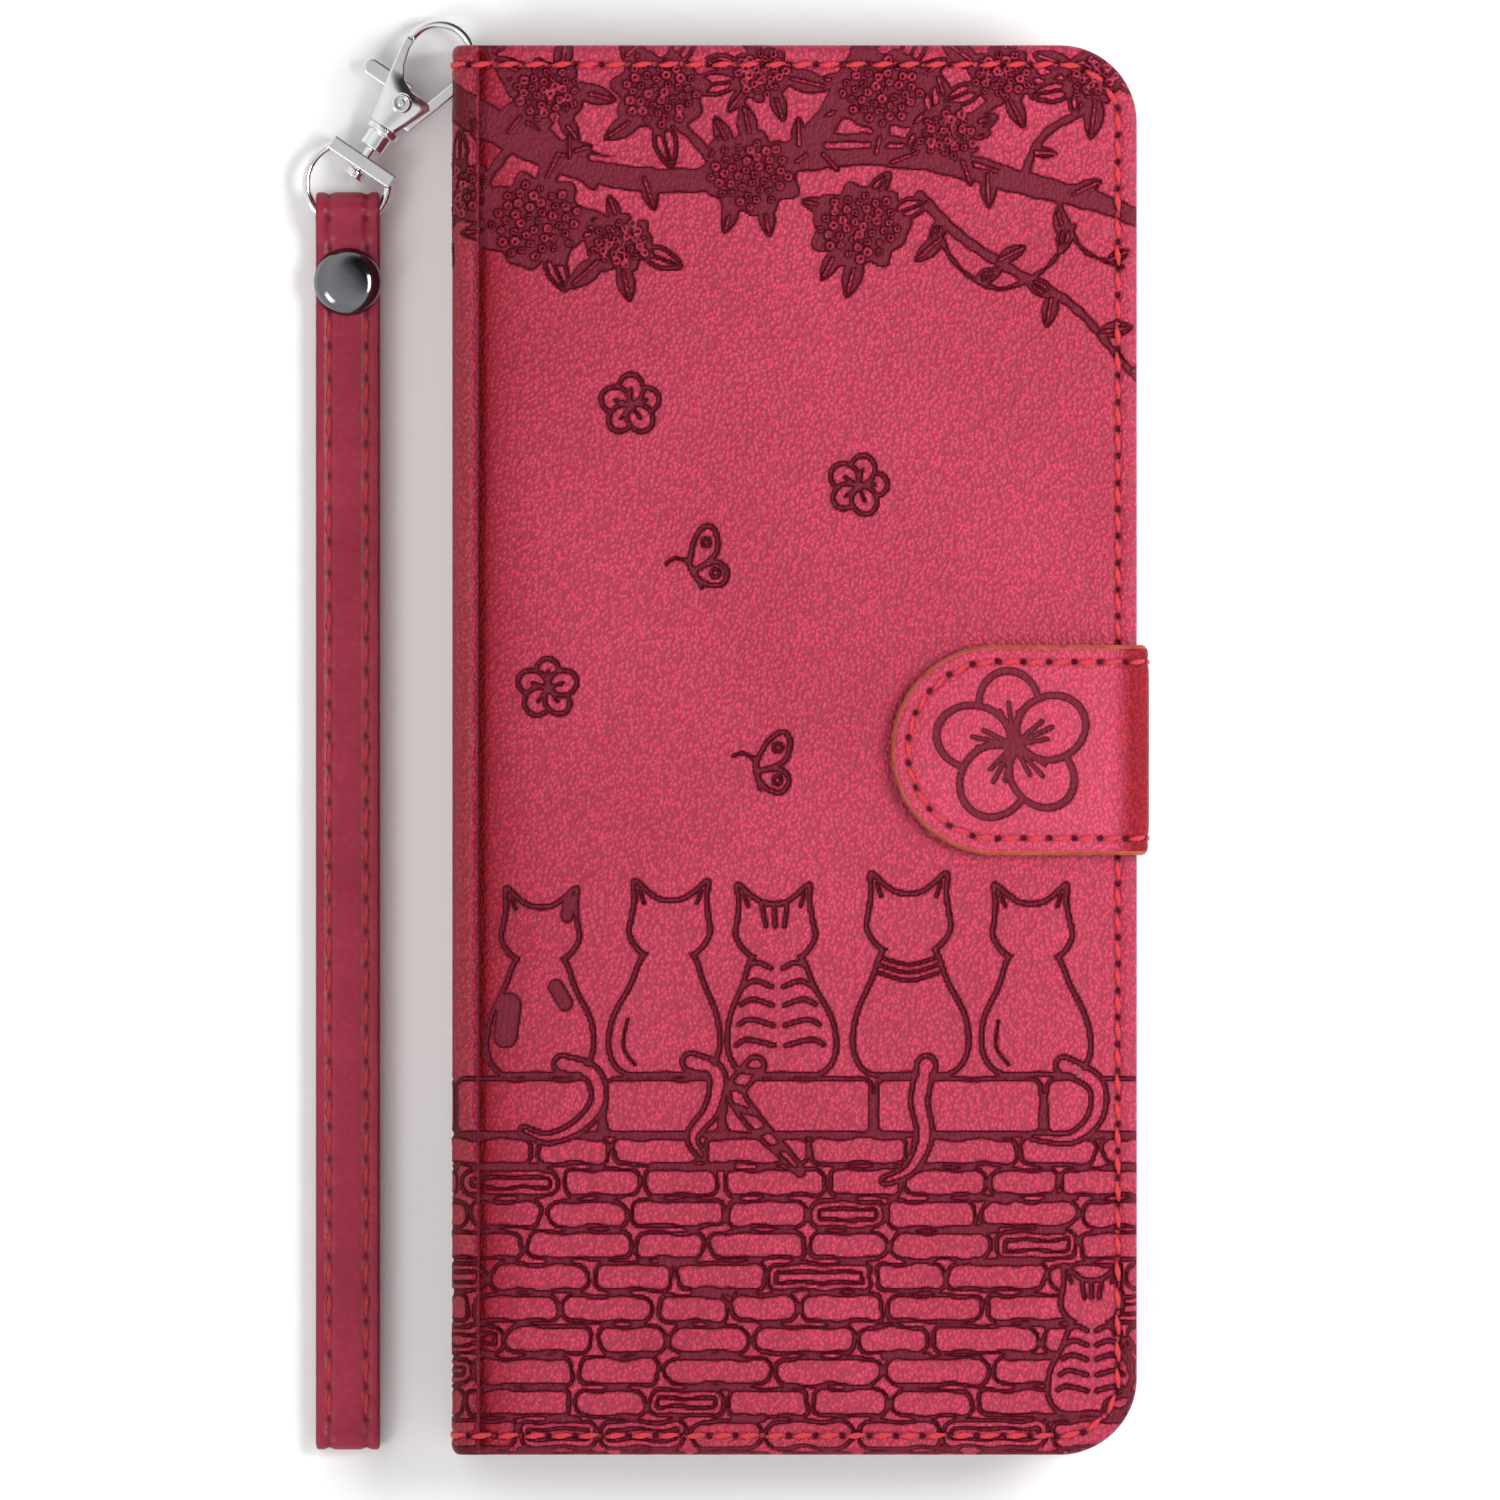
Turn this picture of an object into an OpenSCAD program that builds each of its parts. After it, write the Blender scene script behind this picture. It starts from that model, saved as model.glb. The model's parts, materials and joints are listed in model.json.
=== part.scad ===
// Phone wallet case: a book-style leather cover around a moulded phone tray,
// closed by a magnetic side tab, with a wrist strap on a swivel clasp.
// The case lies on its back. +X runs from the spine to the free edge, +Y to the
// top of the phone and +Z up through the closed case. The origin is the centre
// of the back cover's outer face.

/* [Case] */
// Width of the closed case, spine to free edge
case_w = 81.6; // [68:0.2:98]
// Height of the closed case
case_h = 168; // [140:1:202]
// Thickness of the closed case
case_t = 18; // [16:0.5:24]
// Radius of the free corners
corner_r = 9.2; // [6:0.1:12]

/* [Leather and board] */
// Thickness of the cover leather
skin_t = 0.8; // [0.6:0.1:1]
// Thickness of the inner lining
lining_t = 0.4; // [0.3:0.1:0.5]
// Thickness of the cover boards
board_t = 0.9; // [0.8:0.1:1.2]
// Thickness of the foam under the front leather
foam_t = 0.6; // [0.4:0.1:0.8]
// How far the boards stop short of a fold
board_back = 1.5; // [1:0.1:3]

/* [Spine] */
// Distance of the fold lines from the spine's outer face
fold_inset = 3.3; // [2.8:0.1:4.5]
// Outer radius of the spine's shoulders
spine_r = 2.2; // [1.5:0.1:2.4]
// Thickness of the spine's stiffener
stiffener_t = 0.8; // [0.5:0.1:1]

/* [Strap slot] */
// Length of the slot along the spine
slot_len = 5.4; // [5:0.1:6]
// Height of the slot
slot_high = 4.2; // [4:0.1:5]
// Leather left between the slot and the spine's top edge
slot_edge = 1.6; // [1.4:0.1:2.4]
// Space under the hook's wire in the slot
slot_under = 0.75; // [0.6:0.05:0.9]

/* [Seam] */
// Distance of the seam from the edge
seam_inset = 2.3; // [2:0.1:3]
// Width of the sewing thread
thread_w = 0.5; // [0.4:0.05:0.7]
// Depth of the thread in its channel
thread_t = 0.3; // [0.2:0.05:0.35]

/* [Pockets] */
// Thickness of the cash pocket's panel
panel_t = 0.4; // [0.3:0.05:0.5]
// Space in the cash pocket
cash_gap = 0.3; // [0.2:0.05:0.4]
// Thickness of a card pocket
slot_t = 0.35; // [0.25:0.05:0.4]
// Space in an empty card pocket
card_gap = 0.25; // [0.2:0.05:0.3]
// Step from one card pocket's mouth to the next
card_step = 10; // [8:0.5:12]
// Height of the card pockets
card_h = 92; // [90:1:100]
// Width of the glued rim of a pocket
rim_w = 2.5; // [2:0.5:4]

/* [Phone tray] */
// Wall of the tray
tray_wall = 1.2; // [1:0.1:1.6]
// Floor of the tray
tray_floor = 1; // [0.8:0.1:1.4]
// Overhang of the tray's lip over the phone
lip_w = 0.8; // [0.4:0.1:1.2]
// Height of the lip
lip_t = 0.6; // [0.4:0.1:0.8]
// Thickness of the adhesive under the tray
glue_t = 0.2; // [0.1:0.05:0.3]
// Space between the tray and the closed front cover
tray_gap = 0.3; // [0.3:0.1:1]
// Space between the tray and the edges of the case
tray_edge = 1; // [0.8:0.1:2]
// Width of the camera window
camera_w = 32; // [20:1:34]
// Height of the camera window
camera_h = 38; // [20:1:60]

/* [Closing tab] */
// Width of the tab along the case
tab_w = 25; // [20:0.5:30]
// Reach of the tab over the front cover
tab_reach = 29.3; // [26:0.1:36]
// Thickness of the tab's leather
tab_skin_t = 0.6; // [0.5:0.1:0.8]
// Thickness of the tab's lining
tab_lining_t = 0.4; // [0.3:0.1:0.5]
// Thickness of the tab's stiffener
tab_core_t = 1; // [0.8:0.1:1.2]
// Space between the tab and the case
tab_gap = 0.2; // [0.2:0.1:0.5]
// Distance of the tab's seam from its edge
tab_seam = 2; // [1.6:0.1:2.5]
// Radius of a magnet
magnet_r = 4.5; // [3:0.5:5]

/* [Wrist strap] */
// Width of the strap
strap_w = 7.7; // [6:0.1:8]
// Length of the folded strap
strap_len = 151; // [120:1:180]
// Thickness of the strap's leather
strap_skin_t = 0.8; // [0.6:0.1:1]
// Thickness of the strap's lining
strap_lining_t = 0.5; // [0.3:0.1:0.6]
// Space between the strap's two layers
strap_gap = 0.2; // [0.1:0.05:0.4]
// Free radius inside the strap's eye
eye_r = 1.2; // [1.15:0.05:1.4]
// Distance of the strap's seams from its edges
strap_seam = 1.6; // [1.2:0.1:2]
// Radius of the rivet's cap
cap_r = 4.1; // [3:0.1:4.5]
// Height of the rivet's cap
cap_h = 1.8; // [1.2:0.1:2.5]

/* [Clasp] */
// Angle of the clasp to the case's height
clasp_tilt = 34.3; // [30:0.1:38]
// Radius of the hook's wire
wire_r = 0.55; // [0.4:0.05:0.6]
// Radius of the hook's bow at the middle of its wire
bow_r = 4; // [3.8:0.05:4.2]
// Radius of the gate's rivet
rivet_r = 0.7; // [0.5:0.05:0.8]
// Running clearance of the gate and the swivel
run_gap = 0.08; // [0.05:0.01:0.1]
// Space between the strap's edge and the middle of the ring's wire
ring_room = 1.08; // [1:0.02:1.4]
// Radius of the ring's wire
ring_wire_r = 0.5; // [0.4:0.05:0.55]

/* [Hidden] */
$fn = 48;
bite = 1; // how far a cutter runs past what it cuts

leather = "#b52a4a";
leather_dark = "#8e2038";
thread_red = "#c8203a";
lining_pink = "#a8304c";
paperboard = "#b9a68a";
chrome = "#d8dadd";

// case
x_left = -case_w / 2;
x_right = case_w / 2;
x_fold = x_left + fold_inset;

// back cover levels
z_back_board = skin_t;
z_back_lining = z_back_board + board_t;
z_glue = z_back_lining + lining_t;
z_tray = z_glue + glue_t;

// front cover levels
card_slots = 3;
z_foam = case_t - skin_t;
z_board = z_foam - foam_t;
z_lining = z_board - board_t;
z_pocket = z_lining - lining_t;
z_panel = z_pocket - cash_gap - panel_t;
z_front_low = z_panel - card_slots * (card_gap + slot_t);
turn_lap = 0.4; // how far the lining stops short of the turned edge

// tray
tray_x0 = x_fold + 0.3;
tray_x1 = x_right - tray_edge;
tray_h = case_h - 4.5;
tray_top = z_front_low - tray_gap;
tray_r = corner_r - 0.2;
camera_x = tray_x1 - tray_wall - camera_w / 2 - 2.6;
camera_y = tray_h / 2 - tray_wall - camera_h / 2 - 1.55;
camera_r = 6;

// pockets
pocket_inset = 4;
pocket_x1 = x_right - pocket_inset - 1;
mouth_x = x_fold + 13.5;
pocket_cut = 1.5; // step of the cash pocket's mouth from the fold

// tab
tab_x1 = x_right + 0.3 + tab_skin_t + tab_lining_t;
tab_z0 = case_t + tab_gap;
tab_z1 = tab_z0 + tab_lining_t + tab_core_t + tab_skin_t;
tab_side_t = tab_skin_t + tab_lining_t;
tab_cx = x_right - tab_reach + tab_w / 2;
root_len = 6.8;
magnet_t = 0.7;
magnet_x = tab_cx - 1;
magnet_y = magnet_r + 0.8;

// strap and clasp
strap_t = 2 * (strap_skin_t + strap_lining_t) + strap_gap;
eye_out = eye_r + strap_skin_t + strap_lining_t;
clasp_z = eye_out;
slot_low = clasp_z - wire_r - slot_under;
ring_r = strap_w / 2 + ring_room;
strap_x = x_left - 12.7;
strap_top = case_h / 2 - 17.04;
strap_bottom = strap_top - strap_len;
eye_y = strap_top - eye_out;
cap_y = eye_y - 8.36;
slope_len = 3.3;
rivet_x = x_left - 6.24;
rivet_y = case_h / 2 - 6.49;
ring_v = -11.6; // ring's centre along the clasp, from the gate's rivet
ring_x = rivet_x + ring_v * sin(clasp_tilt);
ring_y = rivet_y + ring_v * cos(clasp_tilt);
bow_u = 0.55; // bow's centre across the clasp, from the gate's rivet
bow_v = 7.1;
bow_tip = -8; // angle at which the bow's wire ends
gate_tip_u = bow_u + bow_r - wire_r + 0.45;
gate_tip_v = bow_v + (bow_r + wire_r) * sin(bow_tip) - 0.35;
plate_w0 = 0.3; // the body's plate lies in front of the gate
plate_w1 = 1.3;
gate_w0 = -1;
gate_w1 = 0.2;
head_r = 1.2;
head_t = 0.3;
body_v0 = -3.6;
post_r = 0.6;
barrel_v = -6.5;
bar_v = -8.5;
bar_t = 1.7;
bar_wide = 2;
post_v = -10.6;

// Outline with square corners at x0 and round corners at x1.
module free_outline(x0, x1, h, r) {
    translate([x0, -h / 2]) square([x1 - x0 - r, h]);
    translate([x0, r - h / 2]) square([x1 - x0, h - 2 * r]);
    for (s = [-1, 1]) translate([x1 - r, s * (h / 2 - r)]) circle(r = r);
}

// Outline of a cover from the fold line, drawn in by d and set back from the fold.
module cover_outline(d, back = 0) {
    free_outline(x_fold + back, x_right - d, case_h - 2 * d, corner_r - d);
}

module round_rect(w, h, r) {
    square([w - 2 * r, h], center = true);
    square([w, h - 2 * r], center = true);
    for (sx = [-1, 1], sy = [-1, 1])
        translate([sx * (w / 2 - r), sy * (h / 2 - r)]) circle(r = r);
}

// Lifts a flat outline to a slab between two levels.
module slab(z0, z1) {
    translate([0, 0, z0]) linear_extrude(z1 - z0) children();
}

// Sweeps an outline drawn in X and Z along Y, over a length centred on y.
module along_y(y, len) {
    translate([0, y + len / 2, 0]) rotate([90, 0, 0]) linear_extrude(len) children();
}

// The seam's line round a cover, as wide as w.
module seam_outline(w) {
    difference() {
        cover_outline(seam_inset - w / 2);
        free_outline(x_fold - bite, x_right - seam_inset - w / 2,
            case_h - 2 * seam_inset - w, corner_r - seam_inset - w / 2);
    }
}

module camera_hole() {
    translate([camera_x, camera_y, -bite]) linear_extrude(z_tray + tray_floor + 2 * bite)
        round_rect(camera_w, camera_h, camera_r);
}

// A cover's leather: a face and an edge turned over the board.
module turned_skin(z_face0, z_face1, z_edge0, z_edge1) {
    slab(z_face0, z_face1) cover_outline(0);
    slab(z_edge0, z_edge1) difference() {
        cover_outline(0);
        free_outline(x_fold - bite, x_right - skin_t, case_h - 2 * skin_t, corner_r - skin_t);
    }
}

// The space that the tab's root takes inside the back cover.
module root_space() {
    translate([x_right - root_len, -tab_w / 2, z_back_board])
        cube([root_len + bite, tab_w, board_t]);
}

module back_skin() {
    color(leather) difference() {
        turned_skin(0, z_back_board, z_back_board, z_back_lining);
        slab(-bite, thread_t) seam_outline(thread_w);
        camera_hole();
        root_space();
    }
}

module back_board() {
    color(paperboard) difference() {
        slab(z_back_board, z_back_lining) cover_outline(skin_t, board_back);
        camera_hole();
        root_space();
    }
}

module back_lining() {
    color(lining_pink) difference() {
        slab(z_back_lining, z_glue) cover_outline(turn_lap);
        camera_hole();
    }
}

module back_thread() {
    color(thread_red) slab(0, thread_t) seam_outline(thread_w);
}

module tab_root() {
    color(leather) along_y(0, tab_w) polygon([
        [x_right - root_len, z_back_board],
        [x_right, z_back_board],
        [x_right, 0],
        [tab_x1, 0],
        [tab_x1 - tab_side_t, tab_side_t],
        [x_right, z_back_lining],
        [x_right - root_len, z_back_lining],
    ]);
}

module shell_adhesive() {
    color("#d9d4c8") difference() {
        slab(z_glue, z_tray)
            free_outline(tray_x0 + 5, tray_x1 - 5, tray_h - 10, tray_r - 5);
        camera_hole();
    }
}

// The tray's outline, drawn in by d, with four round corners.
module tray_outline(d) {
    translate([(tray_x0 + tray_x1) / 2, 0])
        round_rect(tray_x1 - tray_x0 - 2 * d, tray_h - 2 * d, tray_r - d);
}

module phone_shell() {
    port_w = 13;
    port_z = (z_tray + tray_top) / 2;
    port_h = 5;
    keys_y = 26;
    keys_len = 34;
    color("#3a3438") difference() {
        slab(z_tray, tray_top) tray_outline(0);
        slab(z_tray + tray_floor, tray_top - lip_t) tray_outline(tray_wall);
        slab(tray_top - lip_t - 0.01, tray_top + bite) tray_outline(tray_wall + lip_w);
        camera_hole();
        // charging socket with a speaker slot on each side
        for (x = [0, -18, 18])
            translate([(tray_x0 + tray_x1) / 2 + x, -tray_h / 2, port_z])
                cube([x == 0 ? port_w : 9, 4 * tray_wall, x == 0 ? port_h : 2.4], center = true);
        // keys on the free side
        translate([tray_x1, keys_y, port_z])
            cube([4 * tray_wall, keys_len, port_h], center = true);
    }
}

// The spine's round-shouldered section in X and Z, drawn in by d, open to the inside.
module spine_inside(d) {
    deep = 20;
    translate([x_left + d + deep / 2, case_t / 2])
        round_rect(deep, case_t - 2 * d, max(spine_r - d, 0.3));
}

// The spine between two depths from its outer face, up to the fold lines.
module spine_wall(d0, d1) {
    intersection() {
        difference() {
            spine_inside(d0);
            spine_inside(d1);
        }
        translate([x_left, 0]) square([fold_inset, case_t]);
    }
}

slot_y = case_h / 2 - slot_edge - slot_len / 2;
slot_z = slot_low + slot_high / 2;

module strap_slot() {
    translate([x_left - bite, slot_y, slot_z]) rotate([0, 90, 0])
        linear_extrude(fold_inset + bite) round_rect(slot_high, slot_len, 1);
}

patch_t = 0.4;
patch_rim = 1.4;
seam_y = case_h / 2 - seam_inset;
seam_clear = slot_low + slot_high + 1.4; // the top seam stops above the strap slot

module spine_seam(w) {
    along_y(-seam_y, w) spine_wall(0, thread_t);
    along_y(seam_y, w) difference() {
        spine_wall(0, thread_t);
        translate([x_left - bite, -bite]) square([fold_inset + 2 * bite, seam_clear + bite]);
    }
}

module spine_skin() {
    color(leather) difference() {
        along_y(0, case_h) spine_wall(0, skin_t);
        spine_seam(thread_w);
        strap_slot();
    }
}

module spine_thread() {
    color(thread_red) spine_seam(thread_w);
}

stiff_z = spine_r + 0.6;
stiff_y1 = slot_y - slot_len / 2 - patch_rim - 0.6;
stiff_y0 = -case_h / 2 + 1.5;

module spine_stiffener() {
    color(paperboard) translate([x_left + skin_t, stiff_y0, stiff_z])
        cube([stiffener_t, stiff_y1 - stiff_y0, case_t - 2 * stiff_z]);
}

module spine_lining() {
    x0 = x_left + skin_t;
    len = stiff_y1 - stiff_y0;
    color(lining_pink) difference() {
        along_y((stiff_y0 + stiff_y1) / 2, len) intersection() {
            spine_inside(skin_t);
            translate([x0, skin_t]) square([stiffener_t + lining_t, case_t - 2 * skin_t]);
        }
        translate([x0 - bite, stiff_y0 - bite, stiff_z])
            cube([stiffener_t + bite, len + 2 * bite, case_t - 2 * stiff_z]);
    }
}

module slot_patch() {
    patch_y = slot_len + patch_rim + slot_edge;
    color(leather_dark) difference() {
        along_y(case_h / 2 - patch_y / 2, patch_y) intersection() {
            spine_inside(skin_t);
            translate([x_left + skin_t, skin_t])
                square([patch_t, slot_high + patch_rim + slot_low - skin_t]);
        }
        strap_slot();
    }
}

module front_skin() {
    color(leather) difference() {
        turned_skin(z_foam, case_t, z_lining, z_foam);
        slab(case_t - thread_t, case_t + bite) seam_outline(thread_w);
    }
}

module front_foam() {
    color("#e6e2da") slab(z_board, z_foam) cover_outline(skin_t, board_back);
}

module magnet_holes(z0, z1, r) {
    for (s = [-1, 1]) translate([magnet_x, s * magnet_y, z0]) cylinder(r = r, h = z1 - z0);
}

module front_board() {
    color(paperboard) difference() {
        slab(z_lining, z_board) cover_outline(skin_t, board_back);
        magnet_holes(z_board - magnet_t, z_board + bite, magnet_r);
    }
}

module keeper_magnets() {
    color(chrome) magnet_holes(z_board - magnet_t, z_board, magnet_r);
}

module front_lining() {
    color(lining_pink) slab(z_pocket, z_lining) cover_outline(turn_lap);
}

// A pocket: a sheet and a glued rim on three sides, open towards the spine.
module pocket(x0, x1, h, r, z_sheet, t, gap) {
    slab(z_sheet, z_sheet + t) free_outline(x0, x1, h, r);
    slab(z_sheet + t, z_sheet + t + gap) difference() {
        free_outline(x0, x1, h, r);
        free_outline(x0 - bite, x1 - rim_w, h - 2 * rim_w, max(r - rim_w, 0.5));
    }
}

module cash_pocket() {
    color(lining_pink) pocket(x_fold + board_back + pocket_cut, pocket_x1 + 1,
        case_h - 2 * pocket_inset, corner_r - pocket_inset, z_panel, panel_t, cash_gap);
}

// Card pocket i, counted from the cover; each mouth steps away from the spine.
module card_slot(i) {
    color(leather_dark) pocket(mouth_x + (i - 1) * card_step, pocket_x1 - (i - 1) * 0.4,
        card_h - (i - 1) * 0.8, 3, z_panel - i * (slot_t + card_gap), slot_t, card_gap);
}

module front_thread() {
    color(thread_red) slab(case_t - thread_t, case_t) seam_outline(thread_w);
}

// The tab's outline: a round end over the front cover, drawn in by d.
module tab_outline(d) {
    translate([tab_cx, 0]) circle(r = tab_w / 2 - d);
    translate([tab_cx, d - tab_w / 2]) square([tab_x1 - tab_cx, tab_w - 2 * d]);
}

// The corner that the tab's side takes from the top at their slanted joint.
module upper_corner() {
    drop = tab_z1 - tab_z0 + bite;
    along_y(0, tab_w + 2 * bite) polygon([
        [tab_x1, tab_z1], [tab_x1 + bite, tab_z1 + bite], [tab_x1 + bite, tab_z1 - drop],
        [tab_x1 - drop, tab_z1 - drop],
    ]);
}

// The tab's side between two depths from its outer face, slanted at both ends.
module tab_side(d0, d1) {
    along_y(0, tab_w) polygon([
        [tab_x1 - d0, d0], [tab_x1 - d0, tab_z1 - d0],
        [tab_x1 - d1, tab_z1 - d1], [tab_x1 - d1, d1],
    ]);
}

module tab_side_seam() {
    for (s = [-1, 1])
        translate([tab_x1 - thread_t, s * (tab_w / 2 - tab_seam) - thread_w / 2, tab_side_t])
            cube([thread_t, thread_w, tab_z1 - 2 * tab_side_t]);
}

module tab_side_skin() {
    color(leather) difference() {
        tab_side(0, tab_skin_t);
        tab_side_seam();
    }
}

module tab_side_lining() {
    color(leather_dark) tab_side(tab_skin_t, tab_side_t);
}

module tab_side_thread() {
    color(thread_red) tab_side_seam();
}

module tab_slab(z0, z1) {
    difference() {
        slab(z0, z1) tab_outline(0);
        upper_corner();
    }
}

module tab_seam_line() {
    slab(tab_z1 - thread_t, tab_z1) difference() {
        tab_outline(tab_seam - thread_w / 2);
        tab_outline(tab_seam + thread_w / 2);
        translate([tab_x1 - tab_side_t, -tab_w]) square([tab_w, 2 * tab_w]);
    }
}

module tab_skin() {
    color(leather) difference() {
        tab_slab(tab_z1 - tab_skin_t, tab_z1);
        tab_seam_line();
    }
}

module tab_stiffener() {
    color(paperboard) difference() {
        tab_slab(tab_z0 + tab_lining_t, tab_z1 - tab_skin_t);
        magnet_holes(tab_z0, tab_z0 + tab_lining_t + magnet_t, magnet_r);
    }
}

module tab_magnets() {
    color(chrome)
        magnet_holes(tab_z0 + tab_lining_t, tab_z0 + tab_lining_t + magnet_t, magnet_r);
}

module tab_lining() {
    color(leather_dark) tab_slab(tab_z0, tab_z0 + tab_lining_t);
}

module tab_thread() {
    color(thread_red) tab_seam_line();
}

// Clasp frame: X across the clasp, Y along it towards the bow, Z up.
module clasp_frame() {
    translate([rivet_x, rivet_y, clasp_z]) rotate([0, 0, -clasp_tilt]) children();
}

module rivet_hole(r) {
    translate([0, 0, gate_w0 - bite]) cylinder(r = r, h = plate_w1 - gate_w0 + 2 * bite);
}

module hook_body() {
    left_u = bow_u - bow_r;
    color(chrome) clasp_frame() difference() {
        union() {
            slab(plate_w0, plate_w1) polygon([
                [-2, body_v0], [1.4, body_v0], [3.3, 1.1], [2.7, 1.7], [0.3, 1.8], [-1.4, 2.6],
                [-2.3, 4], [left_u + wire_r, 6], [left_u + wire_r, bow_v],
                [left_u - wire_r, bow_v], [left_u - wire_r, 6], [-3.7, 4.4], [-3.36, 2.5],
            ]);
            slab(-wire_r, plate_w0) polygon([
                [left_u + wire_r, 4.6], [left_u + wire_r, bow_v], [left_u - wire_r, bow_v],
                [left_u - wire_r, 5.2], [-3.8, 4.6],
            ]);
            // the foot joins the plate to the swivel
            translate([-1.8, body_v0, -1.2]) cube([3, 0.9, 1.2 + plate_w0 + 0.2]);
            translate([bow_u, bow_v, 0]) rotate([0, 0, bow_tip])
                rotate_extrude(angle = 180 - bow_tip) translate([bow_r, 0]) circle(r = wire_r);
        }
        rivet_hole(rivet_r);
    }
}

module swivel_post() {
    color(chrome) clasp_frame() rotate([90, 0, 0]) {
        translate([0, 0, -body_v0]) cylinder(r = 2.1, h = 0.8);
        translate([0, 0, -body_v0 + 0.8]) cylinder(r = 1.6, h = body_v0 - barrel_v - 0.8);
        translate([0, 0, -barrel_v]) cylinder(r = post_r, h = barrel_v - post_v);
        translate([0, 0, -post_v - 0.9]) cylinder(r = 1.25, h = 0.9);
    }
}

module gate_rivet() {
    color(chrome) clasp_frame() {
        translate([0, 0, gate_w0 - run_gap]) cylinder(r = rivet_r, h = plate_w1 - gate_w0 + run_gap);
        translate([0, 0, plate_w1]) cylinder(r = head_r, h = head_t);
        translate([0, 0, gate_w0 - run_gap - head_t]) cylinder(r = head_r, h = head_t);
    }
}

module gate_spring() {
    color(chrome) clasp_frame() slab(gate_w0 + 0.1, gate_w1 - 0.1) polygon([
        [-1.5, body_v0 + 0.9], [-1.2, body_v0 + 0.9], [-1.55, -1.7], [-1.9, -0.4],
        [-2.15, -0.45], [-1.85, -1.8],
    ]);
}

module gate() {
    arm = 0.65; // half the arm's width
    color(chrome) clasp_frame() difference() {
        slab(gate_w0, gate_w1) {
            circle(r = 1.5);
            // thumb lever
            translate([-5.4, 0.6]) square([5.4, 2]);
            translate([-5.4, 1.6]) circle(r = 1);
            // arm
            polygon([
                [0, -1.5], [1.9 - arm, -2.4], [1.9 + arm, -2.4], [3.1 + arm, 1.2],
                [gate_tip_u + 0.6, gate_tip_v - 0.6], [gate_tip_u, gate_tip_v],
                [gate_tip_u - arm, gate_tip_v], [3.1 - arm, 1.5], [0, 1.5],
            ]);
        }
        rivet_hole(rivet_r + run_gap);
    }
}

module swivel_ring() {
    bar_half = sqrt(ring_r * ring_r - (bar_v - ring_v) * (bar_v - ring_v));
    bar_angle = acos((bar_v - ring_v) / ring_r);
    run_y = eye_y - 0.16 - ring_y; // the straight run through the strap's eye
    run_angle = acos(-run_y / ring_r);
    axis_angle = 90 - clasp_tilt;
    right_from = -90 + run_angle;
    left_from = axis_angle + bar_angle;
    color(chrome) difference() {
        union() {
            translate([ring_x, ring_y, clasp_z]) {
                rotate([0, 0, right_from])
                    rotate_extrude(angle = axis_angle - bar_angle - right_from)
                        translate([ring_r, 0]) circle(r = ring_wire_r);
                rotate([0, 0, left_from])
                    rotate_extrude(angle = 270 - run_angle - left_from)
                        translate([ring_r, 0]) circle(r = ring_wire_r);
                translate([-ring_r * sin(run_angle), run_y, 0]) rotate([0, 90, 0])
                    cylinder(r = ring_wire_r, h = 2 * ring_r * sin(run_angle));
                for (s = [-1, 1])
                    translate([s * ring_r * sin(run_angle), run_y, 0]) sphere(r = ring_wire_r);
            }
            clasp_frame() translate([0, bar_v, 0])
                cube([2 * bar_half + 1.1, bar_t, bar_wide], center = true);
        }
        clasp_frame() translate([0, bar_v - bar_t, 0]) rotate([-90, 0, 0])
            cylinder(r = post_r + run_gap, h = 2 * bar_t);
    }
}

// The strap's side outline in Y and Z, drawn in by d.
module strap_outline(d) {
    end_r = strap_t / 2;
    translate([eye_y, eye_out]) circle(r = eye_out - d);
    polygon([
        [eye_y, d], [eye_y, 2 * eye_out - d], [eye_y - slope_len, strap_t - d],
        [strap_bottom + end_r, strap_t - d], [strap_bottom + end_r, d],
    ]);
    translate([strap_bottom + end_r, end_r]) circle(r = end_r - d);
}

// A band between two depths of the strap's side outline.
module strap_band(d0, d1) {
    translate([strap_x - strap_w / 2, 0, 0]) rotate([90, 0, 90]) linear_extrude(strap_w)
        difference() {
            strap_outline(d0);
            strap_outline(d1);
        }
}

module strap_seam_lines() {
    y0 = strap_bottom + strap_t;
    y1 = eye_y - slope_len;
    for (s = [-1, 1], z = [0, strap_t - thread_t])
        translate([strap_x + s * (strap_w / 2 - strap_seam) - thread_w / 2, y0, z])
            cube([thread_w, y1 - y0, thread_t]);
}

base_r = 3.2;
base_t = 0.45;
pin_r = 1;

module cap_post() {
    translate([strap_x, cap_y, 0]) {
        cylinder(r = base_r, h = base_t);
        cylinder(r = pin_r, h = strap_t + cap_h / 2);
    }
}

module strap_leather() {
    color(leather_dark) difference() {
        strap_band(0, strap_skin_t);
        strap_seam_lines();
        cap_post();
    }
}

module strap_lining() {
    color(leather) difference() {
        strap_band(strap_skin_t, strap_skin_t + strap_lining_t);
        cap_post();
    }
}

module strap_thread() {
    color(thread_red) difference() {
        strap_seam_lines();
        cap_post();
    }
}

module strap_rivet_cap() {
    dome_r = (cap_r * cap_r + cap_h * cap_h) / (2 * cap_h);
    color("#5b5d60") difference() {
        translate([strap_x, cap_y, strap_t]) intersection() {
            translate([0, 0, cap_h - dome_r]) sphere(r = dome_r);
            cylinder(r = cap_r, h = cap_h);
        }
        cap_post();
    }
}

module strap_rivet_post() {
    color(chrome) cap_post();
}

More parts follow.
